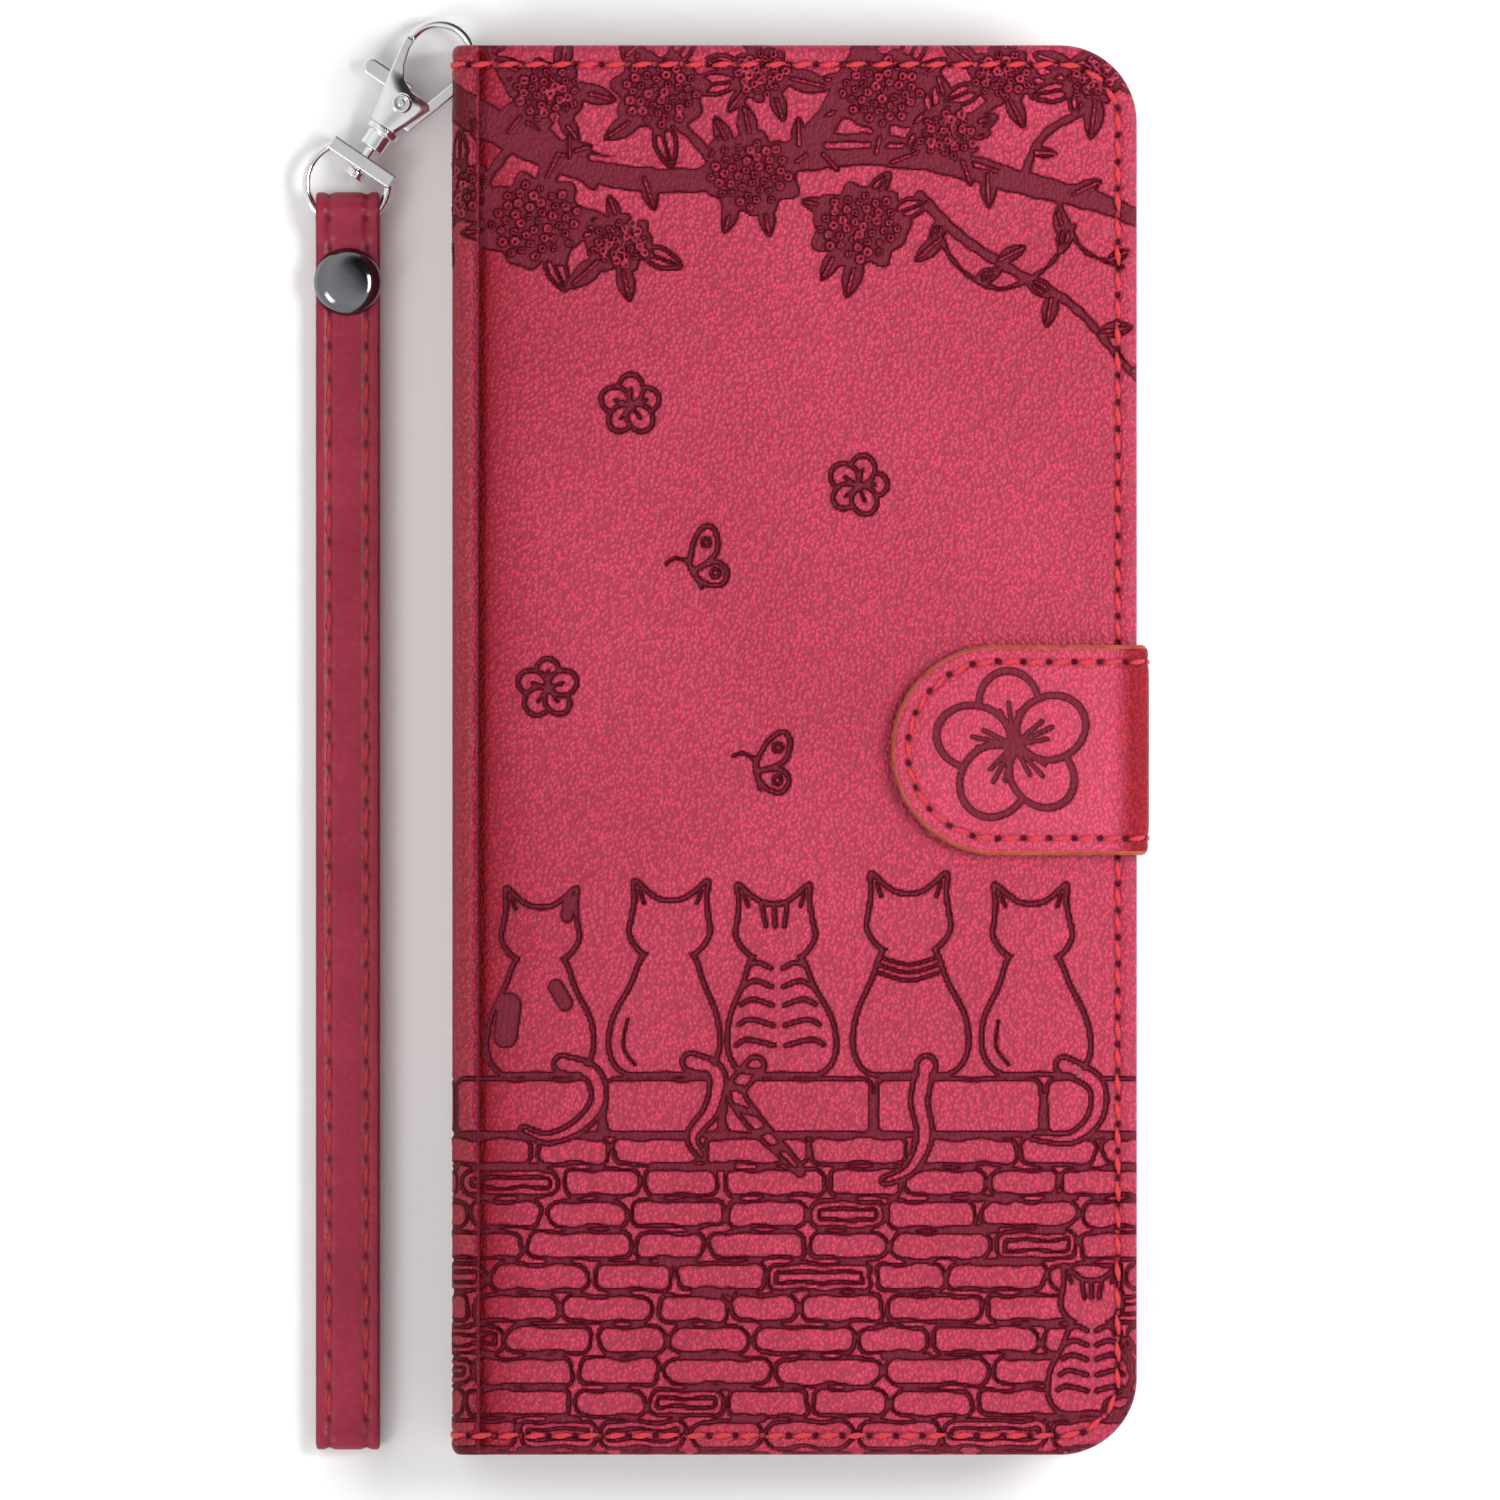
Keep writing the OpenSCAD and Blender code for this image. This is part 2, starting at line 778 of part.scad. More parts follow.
back_skin();
back_board();
back_lining();
back_thread();
tab_root();
shell_adhesive();
phone_shell();
spine_skin();
spine_stiffener();
spine_lining();
spine_thread();
slot_patch();
front_skin();
front_foam();
front_board();
keeper_magnets();
front_lining();
cash_pocket();
card_slot(1);  // card_slot_1
card_slot(2);  // card_slot_2
card_slot(3);  // card_slot_3
front_thread();
tab_side_skin();
tab_side_lining();
tab_side_thread();
tab_skin();
tab_stiffener();
tab_magnets();
tab_lining();
tab_thread();
hook_body();
swivel_post();
gate_rivet();
gate_spring();
gate();
swivel_ring();
strap_leather();
strap_lining();
strap_thread();
strap_rivet_cap();
strap_rivet_post();
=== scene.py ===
import json
import math
import bmesh
import bpy
import numpy as np
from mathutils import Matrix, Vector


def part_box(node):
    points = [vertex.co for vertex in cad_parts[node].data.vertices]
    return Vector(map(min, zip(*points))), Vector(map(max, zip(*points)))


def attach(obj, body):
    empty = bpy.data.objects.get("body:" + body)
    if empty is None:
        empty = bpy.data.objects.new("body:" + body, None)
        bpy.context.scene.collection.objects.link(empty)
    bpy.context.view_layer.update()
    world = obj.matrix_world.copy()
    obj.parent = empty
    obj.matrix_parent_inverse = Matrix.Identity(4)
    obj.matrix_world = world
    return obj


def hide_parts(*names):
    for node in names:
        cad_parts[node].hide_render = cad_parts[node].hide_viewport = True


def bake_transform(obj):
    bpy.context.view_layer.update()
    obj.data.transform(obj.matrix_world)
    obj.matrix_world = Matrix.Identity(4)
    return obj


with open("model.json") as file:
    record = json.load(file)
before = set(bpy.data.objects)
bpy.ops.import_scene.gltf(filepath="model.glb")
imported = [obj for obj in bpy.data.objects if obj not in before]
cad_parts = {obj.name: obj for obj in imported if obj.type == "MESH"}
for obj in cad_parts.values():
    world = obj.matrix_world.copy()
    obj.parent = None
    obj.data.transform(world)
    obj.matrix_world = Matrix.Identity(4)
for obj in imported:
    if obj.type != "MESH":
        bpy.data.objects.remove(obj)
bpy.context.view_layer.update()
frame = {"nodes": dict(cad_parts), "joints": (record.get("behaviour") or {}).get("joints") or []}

mm = 1000  # millimetres in a metre; meshes are worked out in millimetres


def boxOf(node):
    low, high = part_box(node)
    return np.array(low) * mm, np.array(high) * mm


frontLow, frontHigh = boxOf("front_skin")
spineLow = boxOf("spine_skin")[0]
tabLow, tabHigh = boxOf("tab_skin")
strapLow, strapHigh = boxOf("strap_leather")

camera = {
    "height": 2500,  # from the cover's face
    "view": 178.7,  # width seen at the cover's face
    "centreX": -5.3,
    "sensor": 36,
}
lens = bpy.data.cameras.new("studioCamera")
lens.sensor_width = camera["sensor"]
lens.lens = camera["sensor"] * camera["height"] / camera["view"]
lens.clip_end = 20
eye = bpy.data.objects.new("studioCamera", lens)
eye.location = (camera["centreX"] / mm, 0, (frontHigh[2] + camera["height"]) / mm)
bpy.context.scene.collection.objects.link(eye)
bpy.context.scene.camera = eye
print("camera placed")


def tint(hexValue):
    parts = [int(hexValue[i : i + 2], 16) / 255 for i in (1, 3, 5)]
    linear = [c / 12.92 if c <= 0.04045 else ((c + 0.055) / 1.055) ** 2.4 for c in parts]
    return (*linear, 1.0)


def linkTo(tree, node, links):
    for socket, source in links:
        tree.links.new(source, node.inputs[socket])


def addNode(tree, kind, settings, links=()):
    node = tree.nodes.new(kind)
    for key, value in settings.items():
        if isinstance(key, int) or key in node.inputs:
            node.inputs[key].default_value = value
        else:
            setattr(node, key, value)
    linkTo(tree, node, links)
    return node


def newMaterial(name, settings):
    material = bpy.data.materials.new(name)
    material.use_nodes = True
    tree = material.node_tree
    shader = tree.nodes["Principled BSDF"]
    for key, value in settings.items():
        shader.inputs[key].default_value = value
    return material, tree, shader


def setStops(ramp, stops):
    elements = ramp.color_ramp.elements
    while len(elements) < len(stops):
        elements.new(0.5)
    for element, (place, colour) in zip(elements, stops):
        element.position = place
        element.color = colour


# Pressed polyurethane leather: satin, with a fine pebble grain that glints, and
# a burnt, darker tone where the hot plate pressed it down, with painted shade on the
# walls of the pressed lines, in the grain's valleys, crease, seam groove and needle
# holes and beside a fold, and a painted reflection down the spine.
def pressedLeather(name, look):
    material, tree, shader = newMaterial(
        name, {"Roughness": look["roughness"], "Specular IOR Level": look["specular"], "IOR": 1.5}
    )
    place = addNode(tree, "ShaderNodeAttribute", {"attribute_name": "grainPlace"})
    press = addNode(tree, "ShaderNodeAttribute", {"attribute_name": "pressedAndShade"})
    # pebbles of about half a millimetre
    pebble = addNode(
        tree, "ShaderNodeTexVoronoi",
        {"feature": "SMOOTH_F1", "Scale": 1 / look["pebble"], "Smoothness": 0.35,
         "Randomness": 1.0},
        [("Vector", place.outputs["Vector"])],
    )
    crinkle = addNode(
        tree, "ShaderNodeTexNoise",
        {"Scale": 1 / look["crinkle"], "Detail": 3.0, "Roughness": 0.6},
        [("Vector", place.outputs["Vector"])],
    )
    cloud = addNode(
        tree, "ShaderNodeTexNoise",
        {"Scale": 1 / look["cloud"], "Detail": 2.0},
        [("Vector", place.outputs["Vector"])],
    )
    grainSum = addNode(
        tree, "ShaderNodeMath", {"operation": "MULTIPLY_ADD", 1: look["crinkleShare"]},
        [(0, crinkle.outputs["Fac"]), (2, pebble.outputs["Distance"])],
    )
    face = addNode(tree, "ShaderNodeValToRGB", {}, [("Fac", cloud.outputs["Fac"])])
    setStops(face, [(0.3, tint(look["faceLow"])), (0.7, tint(look["faceHigh"]))])
    # painted shade: the valleys between pebbles are darker
    valleyShade = addNode(tree, "ShaderNodeValToRGB", {}, [("Fac", grainSum.outputs[0])])
    setStops(valleyShade, [(0.36, (1.0, 1.0, 1.0, 1)), (0.86, (look["valleyShade"],) * 3 + (1,))])
    grained = addNode(
        tree, "ShaderNodeMix", {"data_type": "RGBA", "blend_type": "MULTIPLY", 0: 1.0},
        [(6, face.outputs["Color"]), (7, valleyShade.outputs["Color"])],
    )
    # painted shade: the wall of a pressed line is darkest, and its floor a dull maroon, burnt by
    # the plate
    burntAndShade = addNode(tree, "ShaderNodeValToRGB", {}, [("Fac", press.outputs["Fac"])])
    wallShade = tint(look["wall"])
    setStops(burntAndShade, [(0.5, wallShade), (0.62, wallShade), (0.98, tint(look["floor"]))])
    # painted shade: beside a fold the leather is painted a deeper red
    scaleOrFoldShade = addNode(tree, "ShaderNodeAttribute", {"attribute_name": "foldShade"})
    foldShaded = addNode(
        tree, "ShaderNodeMix",
        {"data_type": "RGBA", "blend_type": "MULTIPLY", 7: tint(look["foldShade"])},
        [(0, scaleOrFoldShade.outputs["Fac"]), (6, grained.outputs[2])],
    )
    share = addNode(
        tree, "ShaderNodeMapRange", {"From Max": 0.5}, [("Value", press.outputs["Fac"])]
    )
    spread = addNode(
        tree, "ShaderNodeMix", {"data_type": "RGBA"},
        [(0, share.outputs["Result"]), (6, foldShaded.outputs[2]), (7, burntAndShade.outputs["Color"])],
    )
    # sunk leather, and leather under the painted fold shade, reflects less of the room
    sunk = addNode(
        tree, "ShaderNodeMath", {"operation": "MAXIMUM"},
        [(0, share.outputs["Result"]), (1, scaleOrFoldShade.outputs["Fac"])],
    )
    shine = addNode(
        tree, "ShaderNodeMapRange",
        {"To Min": look["specular"], "To Max": look["specular"] * 0.3},
        [("Value", sunk.outputs[0])],
    )
    # painted reflection: down the spine, where the leather bends, it is greyer and a little browner
    bend = addNode(tree, "ShaderNodeAttribute", {"attribute_name": "spineReflection"})
    spineReflectionTone = addNode(
        tree, "ShaderNodeMix",
        {"data_type": "RGBA", "blend_type": "MULTIPLY", 7: tint(look["spineReflection"])},
        [(0, bend.outputs["Fac"]), (6, spread.outputs[2])],
    )
    gloss = addNode(
        tree, "ShaderNodeMapRange",
        {"To Min": look["roughness"] - 0.06, "To Max": look["roughness"] + 0.1},
        [("Value", crinkle.outputs["Fac"])],
    )
    bump = addNode(
        tree, "ShaderNodeBump",
        {"invert": True, "Strength": look["bump"], "Distance": look["grainDeep"] / mm},
        [("Height", grainSum.outputs[0])],
    )
    linkTo(tree, shader, [
        ("Base Color", spineReflectionTone.outputs[2]),
        ("Specular IOR Level", shine.outputs["Result"]),
        ("Roughness", gloss.outputs["Result"]),
        ("Normal", bump.outputs["Normal"]),
    ])
    return material


leatherLook = {
    # the wall colour is painted shade on the walls of pressed lines; the two colours after the
    # floor are a painted reflection down the spine and a painted shade beside a fold
    "faceLow": "#c42a4c", "faceHigh": "#d2365a",
    "wall": "#430914", "floor": "#6a1d2e", "spineReflection": "#d2b8a8", "foldShade": "#b83c4a",
    "pebble": 0.42, "crinkle": 0.33, "cloud": 26,  # widths of the grain, in millimetres
    # the valley value is how dark the painted shade between pebbles goes
    "crinkleShare": 0.6, "valleyShade": 0.5, "roughness": 0.4, "specular": 0.3,
    "bump": 1.0, "grainDeep": 0.2,
}
coverLeather = pressedLeather("pebbledLeatherHotPressed", leatherLook)
tabLook = dict(leatherLook, faceLow="#cc3254", faceHigh="#d84062", valleyShade=0.56)
tabLeather = pressedLeather("pebbledLeatherTab", tabLook)
strapLook = dict(
    leatherLook, faceLow="#8f1f37", faceHigh="#9d2740", wall="#4d0b18", floor="#5d1323",
    pebble=0.9, crinkle=0.7, cloud=12, valleyShade=0.86, roughness=0.36, bump=0.5, grainDeep=0.1,
)
strapLeather = pressedLeather("smoothLeatherStrap", strapLook)


# A plain sheet or moulding whose colour and surface change a little from spot to spot.
def speckled(name, low, high, grain, deep, settings, scaleOrFoldShade=(1, 1, 1)):
    material, tree, shader = newMaterial(name, settings)
    place = addNode(tree, "ShaderNodeTexCoord", {})
    scaled = addNode(
        tree, "ShaderNodeMapping", {"Scale": tuple(mm * s for s in scaleOrFoldShade)},
        [("Vector", place.outputs["Object"])],
    )
    noise = addNode(
        tree, "ShaderNodeTexNoise", {"Scale": 1 / grain, "Detail": 4.0, "Roughness": 0.6},
        [("Vector", scaled.outputs["Vector"])],
    )
    colour = addNode(tree, "ShaderNodeValToRGB", {}, [("Fac", noise.outputs["Fac"])])
    setStops(colour, [(0.3, tint(low)), (0.7, tint(high))])
    bump = addNode(
        tree, "ShaderNodeBump", {"Strength": 0.6, "Distance": deep / mm},
        [("Height", noise.outputs["Fac"])],
    )
    linkTo(tree, shader, [
        ("Base Color", colour.outputs["Color"]), ("Normal", bump.outputs["Normal"]),
    ])
    return material


# Burnished edge paint: waxy brown, dull, with a slightly lumpy surface.
edgePaint = speckled(
    "edgePaintBrushed", "#8a3522", "#b0553a", 1.5, 0.03, {"Roughness": 0.5}
)
# Brushed microfibre lining: matt, with a short soft nap that takes a sheen.
lining = speckled(
    "microfibreBrushed", "#8c2440", "#a2304e", 0.35, 0.05,
    {"Roughness": 0.9, "Sheen Weight": 0.35, "Sheen Roughness": 0.5},
)
# Polyurethane pocket leather: smoother than the cover, fine grain.
pocketLeather = speckled(
    "pocketLeatherRolled", "#8a2139", "#9d2c46", 0.5, 0.03, {"Roughness": 0.5}
)
# Grey-brown paper board: matt, with fibres along the sheet.
paperBoard = speckled(
    "paperBoardPressed", "#a08a6c", "#c4b394", 0.6, 0.03, {"Roughness": 0.9}, (1, 0.2, 1)
)
# Foamed sheet: pale and matt, with small open cells.
foamSheet = speckled("foamCellular", "#d9d3c6", "#efeae0", 0.4, 0.08, {"Roughness": 0.95})
# Cast adhesive film: pale, nearly even, with a low gloss.
glueSheet = speckled("adhesiveFilm", "#cfc9ba", "#dcd7ca", 3, 0.01, {"Roughness": 0.35})
# Thermoplastic polyurethane, moulded: dark, satin, with a fine eroded texture.
mouldedTray = speckled(
    "softPlasticMoulded", "#1d1a1d", "#262226", 0.25, 0.02, {"Roughness": 0.48}
)


# Metals: polished plate shows the studio, with only faint waviness.
def polished(name, colour, roughness, wave, deep):
    material, tree, shader = newMaterial(name, {"Metallic": 1.0, "Base Color": tint(colour)})
    place = addNode(tree, "ShaderNodeTexCoord", {})
    scaled = addNode(
        tree, "ShaderNodeMapping", {"Scale": (mm, mm, mm)}, [("Vector", place.outputs["Object"])]
    )
    noise = addNode(
        tree, "ShaderNodeTexNoise", {"Scale": 1 / wave, "Detail": 2.0},
        [("Vector", scaled.outputs["Vector"])],
    )
    gloss = addNode(
        tree, "ShaderNodeMapRange", {"To Min": roughness * 0.7, "To Max": roughness * 1.3},
        [("Value", noise.outputs["Fac"])],
    )
    bump = addNode(
        tree, "ShaderNodeBump", {"Strength": 0.3, "Distance": deep / mm},
        [("Height", noise.outputs["Fac"])],
    )
    linkTo(tree, shader, [
        ("Roughness", gloss.outputs["Result"]), ("Normal", bump.outputs["Normal"]),
    ])
    return material


nickel = polished("zincAlloyNickelPlated", "#e4e4e6", 0.09, 1.6, 0.02)
gunmetal = polished("steelCapPolished", "#737478", 0.12, 2.5, 0.01)
magnetPlate = polished("magnetNickelPlated", "#b4b6ba", 0.25, 1, 0.01)


# Twisted polyester thread: bright, slightly glossy, with plies that wind round it.
def twistedThread(name, dark, light):
    material, tree, shader = newMaterial(name, {"Roughness": 0.55, "Sheen Weight": 0.2})
    place = addNode(tree, "ShaderNodeAttribute", {"attribute_name": "plyPlace"})
    plies = addNode(
        tree, "ShaderNodeTexWave",
        {"bands_direction": "DIAGONAL", "Scale": 1.6, "Distortion": 0.3},
        [("Vector", place.outputs["Vector"])],
    )
    # painted shade between the plies and painted highlight on them, in the ply bands
    colour = addNode(tree, "ShaderNodeValToRGB", {}, [("Fac", plies.outputs["Fac"])])
    setStops(colour, [(0.1, tint(dark)), (0.8, tint(light))])
    bump = addNode(
        tree, "ShaderNodeBump", {"Strength": 0.8, "Distance": 0.06 / mm},
        [("Height", plies.outputs["Fac"])],
    )
    linkTo(tree, shader, [
        ("Base Color", colour.outputs["Color"]), ("Normal", bump.outputs["Normal"]),
    ])
    return material


redThread = twistedThread("polyesterThreadRed", "#9c0819", "#e01d31")
darkThread = twistedThread("polyesterThreadDark", "#8a0a18", "#c81426")
print("materials ready")


def newPiece(name, verts, faces, materials, slots=None, sharp=38):
    mesh = bpy.data.meshes.new(name)
    mesh.from_pydata((np.asarray(verts) / mm).tolist(), [], faces)
    for material in materials:
        mesh.materials.append(material)
    if slots is not None:
        mesh.polygons.foreach_set("material_index", np.asarray(slots, np.int32))
    mesh.polygons.foreach_set("use_smooth", np.ones(len(mesh.polygons), bool))
    mesh.update()
    mesh.set_sharp_from_angle(angle=math.radians(sharp))
    piece = bpy.data.objects.new(name, mesh)
    bpy.context.scene.collection.objects.link(piece)
    return piece


def facesOutward(piece):
    form = bmesh.new()
    form.from_mesh(piece.data)
    bmesh.ops.recalc_face_normals(form, faces=form.faces)
    form.to_mesh(piece.data)
    form.free()
    return piece


def placesOf(piece):
    places = np.zeros(len(piece.data.vertices) * 3, np.float32)
    piece.data.vertices.foreach_get("co", places)
    return places.reshape(-1, 3).astype(float) * mm


def setValues(piece, name, values):
    kind = "FLOAT" if values.ndim == 1 else "FLOAT_VECTOR"
    attribute = piece.data.attributes.new(name, kind, "POINT")
    key = "value" if kind == "FLOAT" else "vector"
    attribute.data.foreach_set(key, np.asarray(values, np.float32).ravel())


def meshAfterModifiers(piece):
    graph = bpy.context.evaluated_depsgraph_get()
    mesh = bpy.data.meshes.new_from_object(piece.evaluated_get(graph))
    piece.modifiers.clear()
    piece.data = mesh


def step01(value, low, high):
    t = np.clip((value - low) / (high - low), 0, 1)
    return t * t * (3 - 2 * t)


def gridFaces(rows, cols, closedRows=False, closedCols=False):
    rowCount = rows if closedRows else rows - 1
    colCount = cols if closedCols else cols - 1
    j, i = np.meshgrid(np.arange(rowCount), np.arange(colCount), indexing="ij")
    jn, im = (j + 1) % rows, (i + 1) % cols
    quads = np.stack([j * cols + i, j * cols + im, jn * cols + im, jn * cols + i], -1)
    return quads.reshape(-1, 4)


def softPath(points, closed=False, pieces=8):
    p = np.array(points, float)
    count = len(p)
    out = []
    for k in range(count if closed else count - 1):
        if closed:
            a, b, c, d = (p[(k + n) % count] for n in (-1, 0, 1, 2))
        else:
            a, b, c, d = p[max(k - 1, 0)], p[k], p[k + 1], p[min(k + 2, count - 1)]
        for t in np.arange(pieces) / pieces:
            out.append(0.5 * (2 * b + (c - a) * t + (2 * a - 5 * b + 4 * c - d) * t * t
                              + (3 * b - a - 3 * c + d) * t**3))
    if not closed:
        out.append(p[-1])
    return np.array(out)


def lineDistance(x, y, path, widths=None):
    best = np.full(x.shape, 1e6)
    for k in range(len(path) - 1):
        (ax, ay), (bx, by) = path[k], path[k + 1]
        dx, dy = bx - ax, by - ay
        t = np.clip(((x - ax) * dx + (y - ay) * dy) / max(dx * dx + dy * dy, 1e-9), 0, 1)
        gap = np.hypot(x - ax - t * dx, y - ay - t * dy)
        if widths is not None:
            gap = gap - (widths[k] + t * (widths[k + 1] - widths[k])) / 2
        best = np.minimum(best, gap)
    return best


# Distance to a box with round corners, from how far a point is past the corners' centres.
def roundedGap(pastX, pastY, radius):
    outside = np.hypot(np.maximum(pastX, 0), np.maximum(pastY, 0))
    return outside + np.minimum(np.maximum(pastX, pastY), 0) - radius


def insideDistance(x, y, path):
    loop = np.vstack([path, path[:1]])
    gap = lineDistance(x, y, loop)
    inside = np.zeros(x.shape, bool)
    for (ax, ay), (bx, by) in zip(loop[:-1], loop[1:]):
        if ay == by:
            continue
        crosses = (ay > y) != (by > y)
        inside ^= crosses & (x < (bx - ax) * (y - ay) / (by - ay) + ax)
    return np.where(inside, -gap, gap)


softness = 0.16  # width over which a pressed line sinks


def ink(gap, width=0.6):
    return 1 - step01(np.abs(gap), width / 2 - softness / 2, width / 2 + softness)


def fillInk(gap):
    return 1 - step01(gap, -softness, softness)


class Drawing:
    def __init__(self, x, y):
        self.x, self.y = x, y
        self.press = np.zeros(x.shape)

    def stamp(self, box, draw, erase=False):
        x0, y0, x1, y1 = box
        pick = (self.x > x0) & (self.x < x1) & (self.y > y0) & (self.y < y1)
        if not pick.any():
            return
        result = draw(self.x[pick], self.y[pick])
        if erase:
            hidden, value = result
            self.press[pick] = self.press[pick] * (1 - hidden) + value * hidden
        else:
            self.press[pick] = np.maximum(self.press[pick], result)


def turned(points, angle, size, centre, flip=1):
    c, s = math.cos(math.radians(angle)), math.sin(math.radians(angle))
    p = np.array(points, float) * [flip * size, size]
    return p @ np.array([[c, s], [-s, c]]) + centre


def blossom(drawing, cx, cy, size, angle, line=0.42):
    reach, out = size * 0.62, size * 0.29
    turns = [math.radians(angle + 72 * k) for k in range(5)]
    petals = [(cx + out * math.cos(a), cy + out * math.sin(a)) for a in turns]

    def draw(x, y):
        # petals lie over one another in turn
        press = np.zeros(x.shape)
        for k, (px, py) in enumerate(petals):
            away = math.atan2(py - cy, px - cx)
            du, dv = x - px, y - py
            longWay = du * math.cos(away) + dv * math.sin(away)
            wide = -du * math.sin(away) + dv * math.cos(away)
            gap = np.hypot(longWay / (1.12 + 0.06 * (k % 2)), wide)
            gap = gap - size * (0.212 + 0.012 * (k % 3))
            inside = fillInk(gap + 0.1)
            press = np.maximum(press * (1 - inside), ink(gap, line))
        centre = np.hypot(x - cx, y - cy)
        bearing = np.arctan2(y - cy, x - cx) - math.radians(angle)
        star = size * (0.07 + 0.035 * np.cos(5 * bearing))
        press = np.maximum(press, fillInk(centre - star))
        # a large flower has three stamens on each petal, a small one has one
        stamens, thin = ((0, 0.3),), 0.28
        if size > 10:
            stamens, thin = ((-15, 0.24), (0, 0.3), (15, 0.26)), 0.42
        for k in range(5):
            for lean, part in stamens:
                a = math.radians(angle + 72 * k + lean)
                tip = (cx + size * part * math.cos(a), cy + size * part * math.sin(a))
                press = np.maximum(press, ink(lineDistance(x, y, [(cx, cy), tip]), thin))
        return press

    drawing.stamp((cx - reach, cy - reach, cx + reach, cy + reach), draw)


def butterfly(drawing, cx, cy, angle, flip):
    def put(points):
        return turned(points, angle, 1, (cx, cy), flip)

    upper = softPath(put([(0, 0), (0.6, 3.2), (2.2, 5), (3.4, 4.2), (3.1, 1.6)]), True)
    lower = softPath(put([(0.2, -0.2), (2.8, 0.6), (4.1, -0.5), (3.4, -2.1), (1.4, -1.8)]), True)
    body = put([(-0.6, 1.5), (0.1, 0), (0.9, -2.2)])
    feeler = softPath(put([(-0.5, 1.3), (-1.9, 1.7), (-3, 1.2)]))
    spots = put([(2.1, 3.1), (2.7, -0.7)])

    def draw(x, y):
        press = ink(insideDistance(x, y, upper), 0.5)
        press = np.maximum(press, ink(insideDistance(x, y, lower), 0.5))
        press = np.maximum(press, fillInk(lineDistance(x, y, body, [0.3, 0.8, 0.4])))
        press = np.maximum(press, ink(lineDistance(x, y, feeler), 0.3))
        for sx, sy in spots:
            press = np.maximum(press, ink(np.hypot(x - sx, y - sy) - 0.5, 0.34))
        return press

    drawing.stamp((cx - 6, cy - 6, cx + 6, cy + 6), draw)


def brickWall(drawing, wall):
    top = wall["top"] - wall["cap"]
    rows = int((top - wall["bottom"]) / wall["course"]) + 1
    mortar = wall["mortar"]
    rng = np.random.default_rng(7)
    wobble = [rng.uniform(0, 6.28, 4) for _ in range(3)]

    def rough(x, y):
        return 0.1 * (
            np.sin(0.9 * x + wobble[0][0]) * np.sin(1.3 * y + wobble[0][1])
            + np.sin(1.3 * x + wobble[1][0] + 2 * np.sin(y))
            + 0.6 * np.sin(2.1 * y + wobble[2][0] + x)
        )

    for row in range(rows):
        y1 = top - row * wall["course"]
        y0 = y1 - wall["course"]
        x1 = wall["right"] + rng.uniform(0, wall["brick"])
        while x1 > wall["left"]:
            x0 = x1 - wall["brick"] * rng.uniform(0.75, 1.2)
            halfX = (x1 - x0 - mortar) / 2 - rng.uniform(0, 0.15)
            halfY = (wall["course"] - mortar) / 2 - rng.uniform(0, 0.12)
            cx = (x0 + x1) / 2 + rng.uniform(-0.15, 0.15)
            cy = (y0 + y1) / 2 + rng.uniform(-0.08, 0.08)
            corner = rng.uniform(0.7, 1.3)
            worn = rng.random() < wall["worn"]

            def brick(x, y, cx=cx, cy=cy, halfX=halfX, halfY=halfY, corner=corner, worn=worn):
                pastX = np.abs(x - cx) - halfX + corner
                pastY = np.abs(y - cy) - halfY + corner
                gap = roundedGap(pastX, pastY, corner) + rough(x, y)
                press = step01(gap, -0.12, 0.16) * (1 - step01(gap, 0.34, 0.56))
                if worn:
                    press = np.maximum(press, ink(gap + 0.75, 0.3))
                return press

            drawing.stamp((x0 - 0.6, y0 - 0.6, x1 + 0.6, y1 + 0.6), brick)
            x1 = x0
    # patches where the mortar is pressed down as well
    for _ in range(wall["patches"]):
        px, py = rng.uniform(wall["left"], wall["right"]), rng.uniform(wall["bottom"], top)
        py = top - round((top - py) / wall["course"]) * wall["course"]
        size = rng.uniform(1.2, 3.6)
        bent = (px - size * 0.3, py + rng.uniform(-0.2, 0.2))
        path = softPath([(px - size, py), bent, (px + size, py)])

        def patch(x, y, path=path):
            return fillInk(lineDistance(x, y, path) - 0.42 + rough(x, y))

        drawing.stamp((px - size - 1, py - 1.5, px + size + 1, py + 1.5), patch)
    # the long slabs on top
    x1 = wall["right"] + 6
    while x1 > wall["left"]:
        x0 = x1 - rng.uniform(wall["slabShort"], wall["slabLong"])

        def slab(x, y, x0=x0, x1=x1):
            pastX = np.abs(x - (x0 + x1) / 2) - (x1 - x0) / 2 + 1.3
            pastY = np.abs(y - wall["top"] + wall["cap"] / 2) - wall["cap"] / 2 + 1.2
            gap = roundedGap(pastX, pastY, 1)
            between = fillInk(0.15 - gap) * (y < wall["top"] - 2)
            return np.maximum(ink(gap + 0.5 * rough(x, y), 0.42), between)

        drawing.stamp((x0, wall["top"] - wall["cap"] - 0.2, x1, wall["top"] + 0.3), slab)
        x1 = x0


